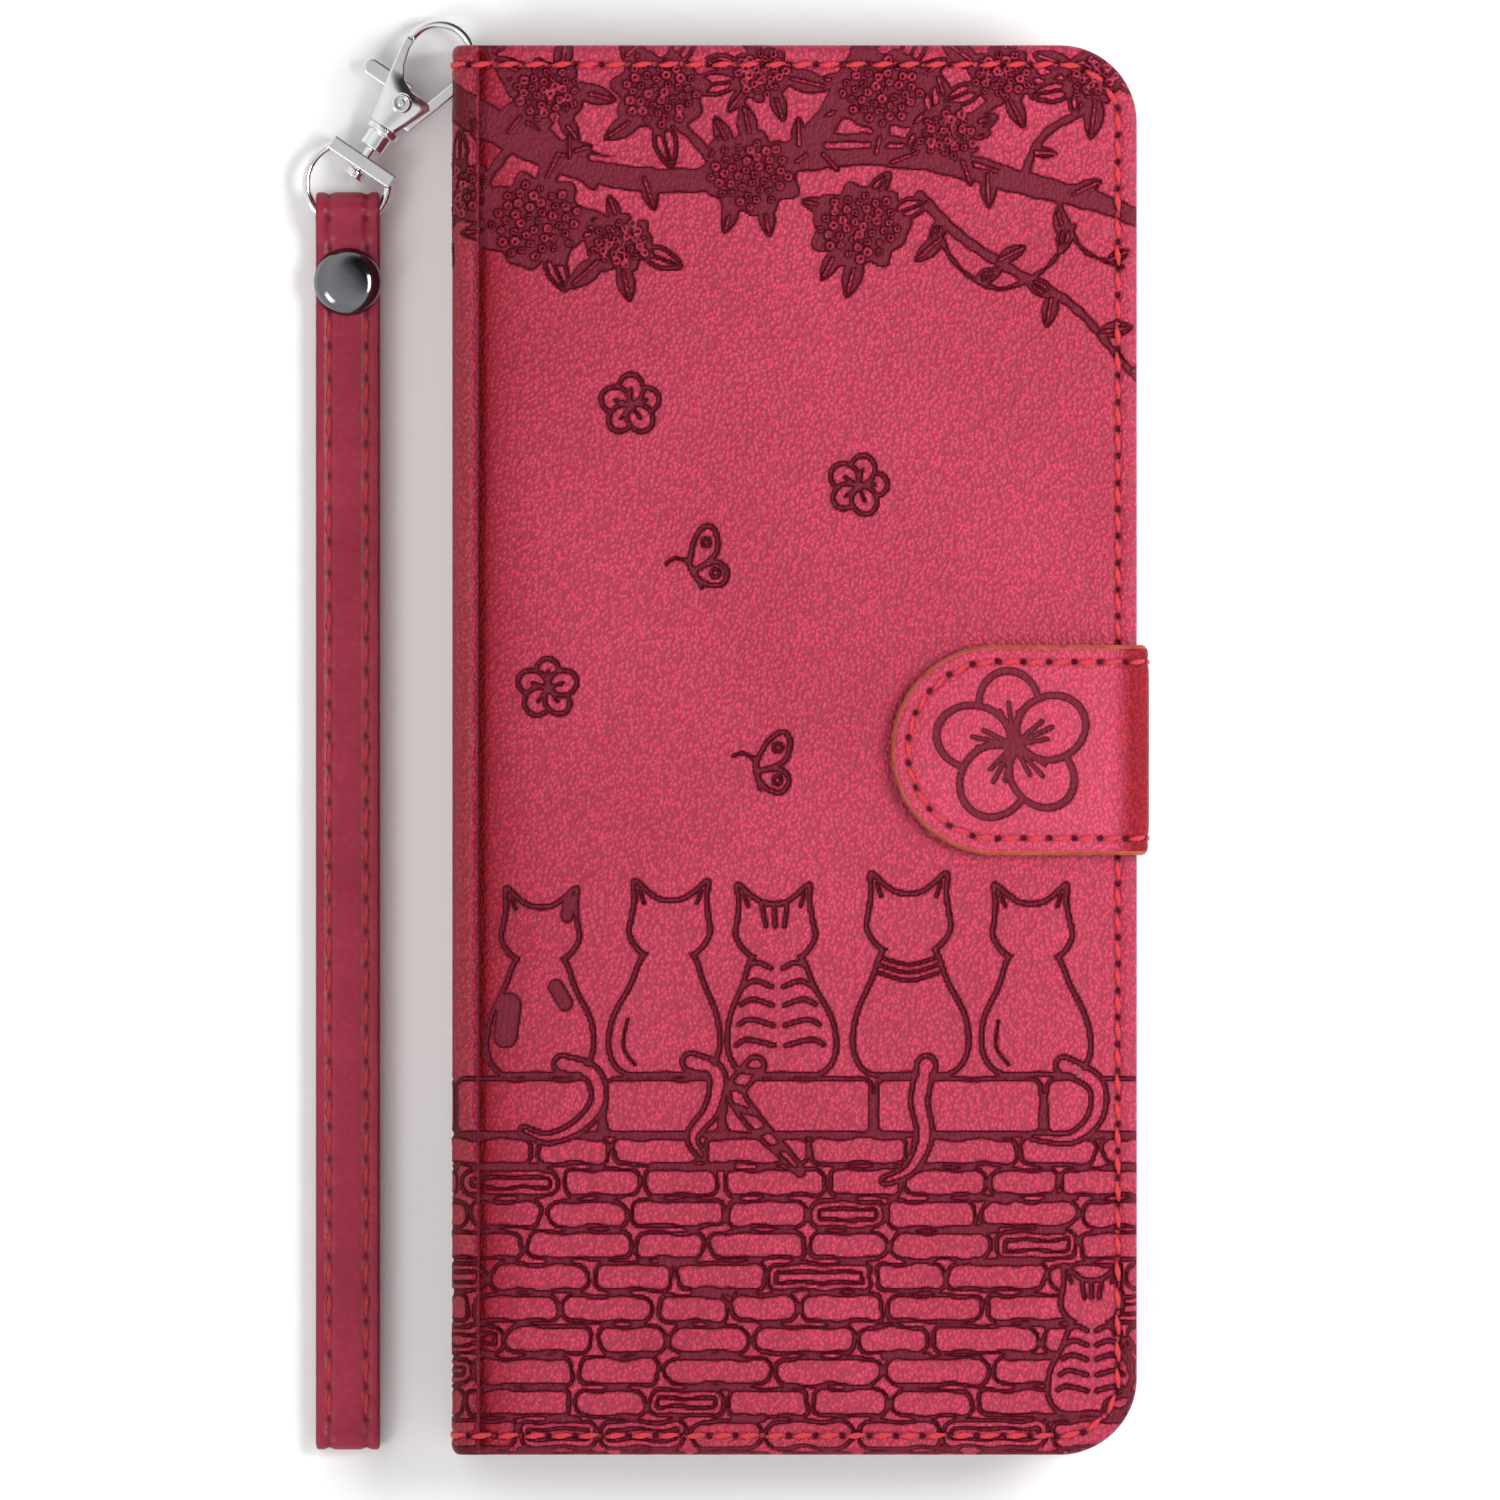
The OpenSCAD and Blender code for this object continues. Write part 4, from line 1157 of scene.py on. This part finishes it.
def onTab(s, y, h):
    r = tab["bend"]
    a = np.clip((s - tabEnd) / r, 0, math.pi / 2)
    below = np.maximum(s - tabEnd - tabArc, 0)
    x = np.minimum(s, tabEnd) + (r + h) * np.sin(a)
    z = tabTop - r + (r + h) * np.cos(a) - below
    return np.stack([x, y, np.where(s < tabEnd, tabTop + h, z)], -1)


def tabSeamGap(s, y):
    r = tabHalf - tab["seamInset"]
    return np.where(s > tabCentre, np.abs(y), np.hypot(s - tabCentre, y)) - r


def tabEdgeGap(s, y):
    return tabHalf - np.where(s > tabCentre, np.abs(y), np.hypot(s - tabCentre, y))


def drawTab(s, y):
    drawing = Drawing(s, y)
    blossom(drawing, tabCentre + 2.1, 0.6, 16.8, 97, 0.68)
    return drawing.press


def tabStations():
    r = tabHalf - tab["seamInset"]
    arc = np.radians(np.linspace(90, 270, 90))
    far = tabEnd + tabArc + tabTop - tab["bend"] - tabMiddle
    loop = [(tabCentre + r * math.cos(a), r * math.sin(a)) for a in arc]
    return evenly(np.array([(far, r)] + loop + [(far, -r)]), tab["stitch"])


def tabHeight(s, y, press, holes):
    groove = np.exp(-((tabSeamGap(s, y) / tab["seamWide"]) ** 2)) * tab["seamDeep"]
    crown = tab["crown"] * step01(tabEdgeGap(s, y), 0.5, 4.5)
    return crown - groove - press * tab["pressDeep"] - holes * tab["holeDeep"]


def markTab(piece, along, drawn):
    co = placesOf(piece)
    s, y = along(co), co[:, 1]
    # painted shade in the needle holes and seam groove, and a painted shade where the tab bends
    # over its side
    holes = holeField(s, y, *tabStations(), tab) * tones["hole"]
    groove = np.exp(-((tabSeamGap(s, y) / 0.32) ** 2)) * tones["groove"]
    tone = np.maximum.reduce([drawTab(s, y) * drawn, holes, groove])
    setValues(piece, "pressedAndShade", np.clip(tone, 0, 1))
    setValues(piece, "foldShade", 0.85 * step01(s, tabEnd - 3.2, tabEnd - 0.2))
    setValues(piece, "grainPlace", np.stack([s, y * tones["grainSquash"], 0 * s], -1))


# The distance along the leather of a point on it.
def tabAlong(co):
    x, below, r = co[:, 0], tabTop - co[:, 2], tab["bend"]
    a = np.arctan2(np.maximum(x - tabEnd, 0), np.maximum(r - below, 1e-6))
    bent = np.where(below < r, tabEnd + r * a, tabEnd + tabArc + below - r)
    return np.where(x < tabEnd, x, bent)


def tabDeep(s):
    return np.full(s.shape, tab["deep"])


def tabInside(s):
    return np.full(s.shape, tab["skin"] + 0.05)


tabMake = {
    "roll": tab["roll"], "skin": tab["skin"], "sign": -1, "deep": tabDeep, "inside": tabInside,
    "materials": [tabLeather, edgePaint],
    "paintFrom": 2,  # rings of the turned edge from this one on are painted
}
baseHalf = tabHalf - tab["roll"]
tabTurn = np.linspace(-math.pi / 2, math.pi / 2, int(baseHalf * math.pi / tab["cell"]))
tabRight = tab["bendFrom"]
tabStart = tabCentre - baseHalf * np.cos(tabTurn)
sMiddle = tabEnd + tabArc + tabTop - tab["bend"] - tabMiddle
sideColumns = np.concatenate([
    np.linspace(sMiddle, tabEnd + tabArc, 24)[:-1],
    np.linspace(tabEnd + tabArc, tabEnd, 12)[:-1],
    np.arange(tabEnd, tabRight, -tab["cell"]),
])
shares = np.linspace(0, 1, int((tabRight - tabLow[0]) / tab["cell"]))
s = np.concatenate([np.repeat(sideColumns[None, :], len(tabTurn), 0),
                    tabRight + shares[None, :] * (tabStart[:, None] - tabRight)], 1)
y = np.repeat((baseHalf * np.sin(tabTurn))[:, None], s.shape[1], 1)
faceHigh = tabHeight(s, y, drawTab(s, y), holeField(s, y, *tabStations(), tab))
tabPiece = buildSheet("tab_leather", s, y, faceHigh, tabTurn, onTab, tabMake)
markTab(tabPiece, tabAlong, 1)


def bendTab(piece):
    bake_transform(piece)


bendTab(tabPiece)
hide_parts("tab_skin", "tab_side_skin")


# The lower half of the side: straight down, then turned under the back cover.
def onLowTab(s, y, h):
    r = tab["underBend"]
    drop = s - sMiddle
    straight = tabMiddle - r
    a = np.clip((drop - straight) / r, 0, math.pi / 2)
    under = np.maximum(drop - straight - r * math.pi / 2, 0)
    x = tabSide - r + (r + h) * np.cos(a) - under
    z = np.where(drop < straight, tabMiddle - drop, r - (r + h) * np.sin(a))
    return np.stack([np.where(drop < straight, tabSide + h, x), y, z], -1)


def lowAlong(co):
    return sMiddle + tabMiddle - co[:, 2]


lowTurn = sMiddle + tabMiddle - tab["underBend"]
lowColumns = np.concatenate([np.linspace(sMiddle, lowTurn, 24)[:-1],
                             lowTurn + np.linspace(0, 1.26 + 0.1, 9)])
lowRows = np.linspace(-baseHalf, baseHalf, int(2 * baseHalf / tab["cell"]))
s, y = np.meshgrid(lowColumns, lowRows)
lowHigh = tabHeight(s, y, 0, holeField(s, y, *tabStations(), tab))
lowPiece = buildSheet("tab_leather_low", s, y, lowHigh, 0 * lowRows, onLowTab, tabMake)
markTab(lowPiece, lowAlong, 0)


def bendLowTab(piece):
    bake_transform(piece)


bendLowTab(lowPiece)
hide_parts("tab_side_skin")
tabSew = dict(coverSew, long=2.35, wide=0.52, slant=9)
tabStitches = sewStitches("tab_stitches", *tabStations(), onTab, tabSew, redThread)
bendTab(tabStitches)
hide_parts("tab_thread", "tab_side_thread")
seamAt = tabHalf - tab["seamInset"]
lowSpots = np.array([(sMiddle + 1.6 + tab["stitch"] * k, side * seamAt)
                     for side in (1, -1) for k in range(3)])
lowHeading = np.array([(1.0, 0.0)] * len(lowSpots))
lowStitches = sewStitches("tab_stitches_low", lowSpots, lowHeading, onLowTab, tabSew, redThread)
bendLowTab(lowStitches)
print("tab made")

strap = {
    "cell": 0.42, "seamInset": 1.6, "stitch": 3.9, "skin": 0.8, "roll": 0.42,
    "eye": 2.5, "thick": 2.8, "slope": 3.3, "grooveDeep": 0.2, "grooveWide": 0.34, "puff": 0.1,
}
strapX = (strapLow[0] + strapHigh[0]) / 2
strapHalf = (strapHigh[0] - strapLow[0]) / 2
eyeY = strapHigh[1] - strap["eye"]
endR = strap["thick"] / 2
# the strap's side view: along its underside, round the eye, back on top, and round the end
endY = strapLow[1] + endR
outline = [(endY, 0), (eyeY, 0)]
for a in np.radians(range(5, 181, 5)):
    outline.append((eyeY + strap["eye"] * math.sin(a), strap["eye"] * (1 - math.cos(a))))
outline += [(eyeY - strap["slope"], strap["thick"]), (endY, strap["thick"])]
for a in np.radians(range(15, 181, 15)):
    outline.append((endY - endR * math.sin(a), endR + endR * math.cos(a)))
outline = np.array(outline)
travel = np.concatenate([[0], np.cumsum(np.hypot(*np.diff(outline, axis=0).T))])
at = np.arange(0, travel[-1], strap["cell"])
loopY, loopZ = np.interp(at, travel, outline[:, 0]), np.interp(at, travel, outline[:, 1])
for _ in range(4):
    loopY = (np.roll(loopY, 1) + 2 * loopY + np.roll(loopY, -1)) / 4
    loopZ = (np.roll(loopZ, 1) + 2 * loopZ + np.roll(loopZ, -1)) / 4
dirY = np.roll(loopY, -1) - np.roll(loopY, 1)
dirZ = np.roll(loopZ, -1) - np.roll(loopZ, 1)
dirLong = np.hypot(dirY, dirZ)
outY, outZ = dirZ / dirLong, -dirY / dirLong
rim = np.array([0.89, 0.93, 0.96, 0.985, 1])  # close rows where the edge turns down
across = np.concatenate([-rim[::-1], np.linspace(-0.84, 0.84, 23), rim]) * strapHalf
edge = np.clip((np.abs(across) - strapHalf + strap["roll"]) / strap["roll"], 0, 1)
seamAway = np.abs(np.abs(across) - strapHalf + strap["seamInset"])
profile = -strap["roll"] * (1 - np.sqrt(1 - edge**2)) + strap["puff"] * step01(seamAway, 0.1, 0.7)
beat = 0.5 + 0.5 * np.cos(2 * math.pi * (at / strap["stitch"]))
dent = np.exp(-((seamAway / strap["grooveWide"]) ** 2))
height = profile[None, :] - dent[None, :] * strap["grooveDeep"] * (0.55 + 0.45 * beat[:, None])
ripple = 0.035 * np.sin(at * 1.31 + 1.5 * np.sin(at * 0.23)) + 0.03 * np.sin(at * 0.47 + 2)
height += ripple[:, None] * np.where(seamAway < 1.2, 1.3, 0.7)[None, :]
height -= strap["puff"]
pull = 1 - 0.012 * beat  # the edges draw in a little at each stitch
outerX = strapX + across[None, :] * pull[:, None]
innerAcross = np.array([1, 0.4, -0.4, -1]) * (strapHalf - 0.12)
innerX = np.repeat((strapX + innerAcross)[None, :], len(at), 0)
strapXs = np.concatenate([outerX, innerX], 1)
strapHs = np.concatenate([height, np.full((len(at), 4), -strap["skin"])], 1)
strapYs = loopY[:, None] + outY[:, None] * strapHs
strapZs = loopZ[:, None] + outZ[:, None] * strapHs
strapVerts = np.stack([strapXs, strapYs, strapZs], -1).reshape(-1, 3)
strapFaces = gridFaces(*strapXs.shape, closedRows=True, closedCols=True).tolist()
strapPiece = newPiece("strap_leather_sewn", strapVerts, strapFaces, [strapLeather], sharp=60)
holeBeat = np.exp(-((((at / strap["stitch"] + 0.5) % 1 - 0.5) * strap["stitch"] / 0.42) ** 2))
# painted shade in the seam groove and needle holes, on the turned-down edges, and over the
# underside
tone = dent[None, :] * (0.12 + 0.4 * holeBeat[:, None]) + 0.22 * edge[None, :]
tone = np.concatenate([tone, np.full((len(at), 4), 0.4)], 1)
setValues(strapPiece, "pressedAndShade", np.clip(tone, 0, 1).ravel())
place = np.stack([strapXs - strapX, np.repeat(at[:, None], strapXs.shape[1], 1), strapHs], -1)
setValues(strapPiece, "grainPlace", place.reshape(-1, 3))
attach(strapPiece, "strap")
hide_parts("strap_leather")


def onStrap(w, s, h):
    y, z, ny, nz = (np.interp(s, at, values) for values in (loopY, loopZ, outY, outZ))
    return np.stack([strapX + w, y + ny * h, z + nz * h], -1)


capLow, capHigh = boxOf("strap_rivet_cap")
capX, capY = (capLow[0] + capHigh[0]) / 2, (capLow[1] + capHigh[1]) / 2
strapSpots = []
for k in range(int(travel[-1] / strap["stitch"])):
    s = (k + 0.5) * strap["stitch"]
    spotY = np.interp(s, at, loopY)
    underCap = abs(spotY - capY) < 3.6
    if strapLow[1] + 3 < spotY < eyeY - 4 and not underCap:
        strapSpots += [(side * (strapHalf - strap["seamInset"]), s) for side in (-1, 1)]
strapSew = {"long": 3, "wide": 0.5, "slant": 4, "high": -0.12, "dive": 0.4}
strapHeading = np.array([(0.0, 1.0)] * len(strapSpots))
strapStitches = sewStitches(
    "strap_stitches", np.array(strapSpots), strapHeading, onStrap, strapSew, darkThread
)
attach(strapStitches, "strap")
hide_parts("strap_thread")


# A turned shape: a profile of radius and height spun round an upright axis.
def spun(name, centre, profile, material):
    around = 72
    curve = softPath(profile, False, 6)
    curve = curve[(curve[:, 0] > 1e-3)]
    turn = np.arange(around) / around * 2 * math.pi
    radius, rise = curve[:, 0][:, None], curve[:, 1][:, None]
    verts = np.stack([centre[0] + radius * np.cos(turn), centre[1] + radius * np.sin(turn),
                      centre[2] + rise + 0 * turn], -1).reshape(-1, 3)
    faces = [tuple(q) for q in gridFaces(len(curve), around, closedCols=True).tolist()]
    faces.append(tuple(range(around - 1, -1, -1)))
    faces.append(tuple(range((len(curve) - 1) * around, len(curve) * around)))
    return facesOutward(newPiece(name, verts, faces, [material], sharp=50))


capProfile = [
    (0.15, 1.8), (1.2, 1.77), (2.3, 1.64), (3.1, 1.36), (3.7, 0.92), (4.02, 0.42),
    (4.05, 0.1), (3.8, 0.0), (3.2, 0.02),
]
cap = spun("strap_cap_domed", (capX, capY, capLow[2]), capProfile, gunmetal)
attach(cap, "strap")
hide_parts("strap_rivet_cap")
print("strap made")

cast = {"voxel": 0.085, "smooth": 5}


# Cast and plated parts: the CAD shape with every edge melted round.
def castFrom(name, node, body):
    source = frame["nodes"][node]
    piece = bpy.data.objects.new(name, source.data.copy())
    bpy.context.scene.collection.objects.link(piece)
    remesh = piece.modifiers.new("melt", "REMESH")
    remesh.mode, remesh.voxel_size = "VOXEL", cast["voxel"] / mm
    remesh.use_smooth_shade = True
    relax = piece.modifiers.new("relax", "SMOOTH")
    relax.factor, relax.iterations = 0.5, cast["smooth"]
    meshAfterModifiers(piece)
    piece.data.materials.clear()
    piece.data.materials.append(nickel)
    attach(piece, body)
    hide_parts(node)
    return piece


joints = {joint["name"]: joint for joint in frame["joints"]}
rivetPlace = np.array(joints["gate_pivot"]["pos_m"]) * mm
claspAlong = -np.array(joints["swivel"]["axis"])[:2]
plate = {"low": 0.3, "top": 1.3, "crown": 0.5, "foot": -3.6}


# The plate's face swells in the middle, as a cast part does.
def crownPlate(piece):
    co = placesOf(piece)
    rel = co - rivetPlace
    v = rel[:, :2] @ claspAlong
    u = rel[:, 0] * claspAlong[1] - rel[:, 1] * claspAlong[0]
    left = -2 - 0.223 * (v - plate["foot"])
    right = 1.4 + 0.404 * (v - plate["foot"])
    share = np.clip(np.abs(u - (left + right) / 2) / ((right - left) / 2), 0, 1)
    raised = step01(rel[:, 2], plate["low"] + 0.2, plate["top"])
    swell = (1 - share**2) * (1 - step01(v, 0.6, 3)) * raised
    co[:, 2] += plate["crown"] * swell
    piece.data.vertices.foreach_set("co", (co / mm).astype(np.float32).ravel())


for name, node, body in (
    ("clasp_hook", "hook_body", "hook"), ("clasp_swivel_post", "swivel_post", "hook"),
    ("clasp_rivet", "gate_rivet", "hook"), ("clasp_gate", "gate", "gate"),
    ("clasp_ring", "swivel_ring", "ring"),
):
    made = castFrom(name, node, body)
    if node == "hook_body":
        crownPlate(made)
rivetProfile = [
    (0.1, 0.56), (0.34, 0.55), (0.5, 0.44), (0.6, 0.42), (0.7, 0.5), (0.86, 0.72),
    (1.08, 0.68), (1.24, 0.42), (1.28, 0.1), (1.2, -0.4),
]
rivetHead = spun("clasp_rivet_head", rivetPlace + [0, 0, plate["top"] + 0.1], rivetProfile, nickel)
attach(rivetHead, "hook")
print("clasp made")

finishes = {
    "back_board": paperBoard, "front_board": paperBoard, "spine_stiffener": paperBoard,
    "back_lining": lining, "front_lining": lining, "spine_lining": lining, "tab_lining": lining,
    "tab_side_lining": lining, "strap_lining": lining,
    "cash_pocket": pocketLeather, "card_slot_1": pocketLeather, "card_slot_2": pocketLeather,
    "card_slot_3": pocketLeather, "slot_patch": pocketLeather, "tab_root": pocketLeather,
    "tab_stiffener": edgePaint, "front_foam": foamSheet, "shell_adhesive": glueSheet,
    "phone_shell": mouldedTray, "keeper_magnets": magnetPlate, "tab_magnets": magnetPlate,
    "gate_spring": nickel, "strap_rivet_post": gunmetal,
}
for node, material in finishes.items():
    data = frame["nodes"][node].data
    data.materials.clear()
    data.materials.append(material)
print("inner parts finished")

studio = {
    "floor": "#f6f6f6", "floorZ": -0.00008, "sky": 0.88,
    "key": {"place": (0.22, 0.05, 0.3), "size": 0.18, "power": 1.3},
    "fill": {"place": (-1.2, -0.9, 1.3), "size": 0.7, "power": 8.0},
}
floorMesh = bpy.data.meshes.new("studioFloor")
floorMesh.from_pydata([(-3, -3, 0), (3, -3, 0), (3, 3, 0), (-3, 3, 0)], [], [(0, 1, 2, 3)])
floor = bpy.data.objects.new("studioFloor", floorMesh)
floor.location.z = studio["floorZ"]
# Matt paper sweep: pale grey, no gloss.
sweep = newMaterial("paperSweepMatt", {"Roughness": 0.9, "Base Color": tint(studio["floor"])})
floorMesh.materials.append(sweep[0])
bpy.context.scene.collection.objects.link(floor)


def softLamp(name, place, size, power):
    data = bpy.data.lights.new(name, "AREA")
    data.shape, data.size, data.energy = "SQUARE", size, power
    lamp = bpy.data.objects.new(name, data)
    lamp.location = place
    aim = -np.array(place, float)
    tilt = math.acos(-aim[2] / np.linalg.norm(aim))
    lamp.rotation_euler = (tilt, 0, math.atan2(aim[1], aim[0]) + math.pi / 2 + math.pi)
    bpy.context.scene.collection.objects.link(lamp)


softLamp("keyLamp", **studio["key"])
softLamp("fillLamp", **studio["fill"])
world = bpy.data.worlds.new("studioTent")
world.use_nodes = True
bpy.context.scene.world = world
tent = world.node_tree
direction = addNode(tent, "ShaderNodeTexCoord", {})
# a pale tent with a dark gap high on one side, which gives the plated metal its contrast
away = addNode(
    tent, "ShaderNodeVectorMath", {"operation": "DOT_PRODUCT", 1: (0.5, 0.42, 0.757)},
    [(0, direction.outputs["Generated"])],
)
bands = addNode(tent, "ShaderNodeValToRGB", {}, [("Fac", away.outputs["Value"])])
greys = ((0.0, 1), (0.5, 1.15), (0.72, 0.95), (0.84, 0.3), (0.92, 0.04), (1.0, 0.05))
setStops(bands, [(place, (grey, grey, grey, 1)) for place, grey in greys])
back = tent.nodes["Background"]
tent.links.new(bands.outputs["Color"], back.inputs["Color"])
back.inputs["Strength"].default_value = studio["sky"]
bpy.context.scene.view_settings.view_transform = "Standard"
print("studio lit")
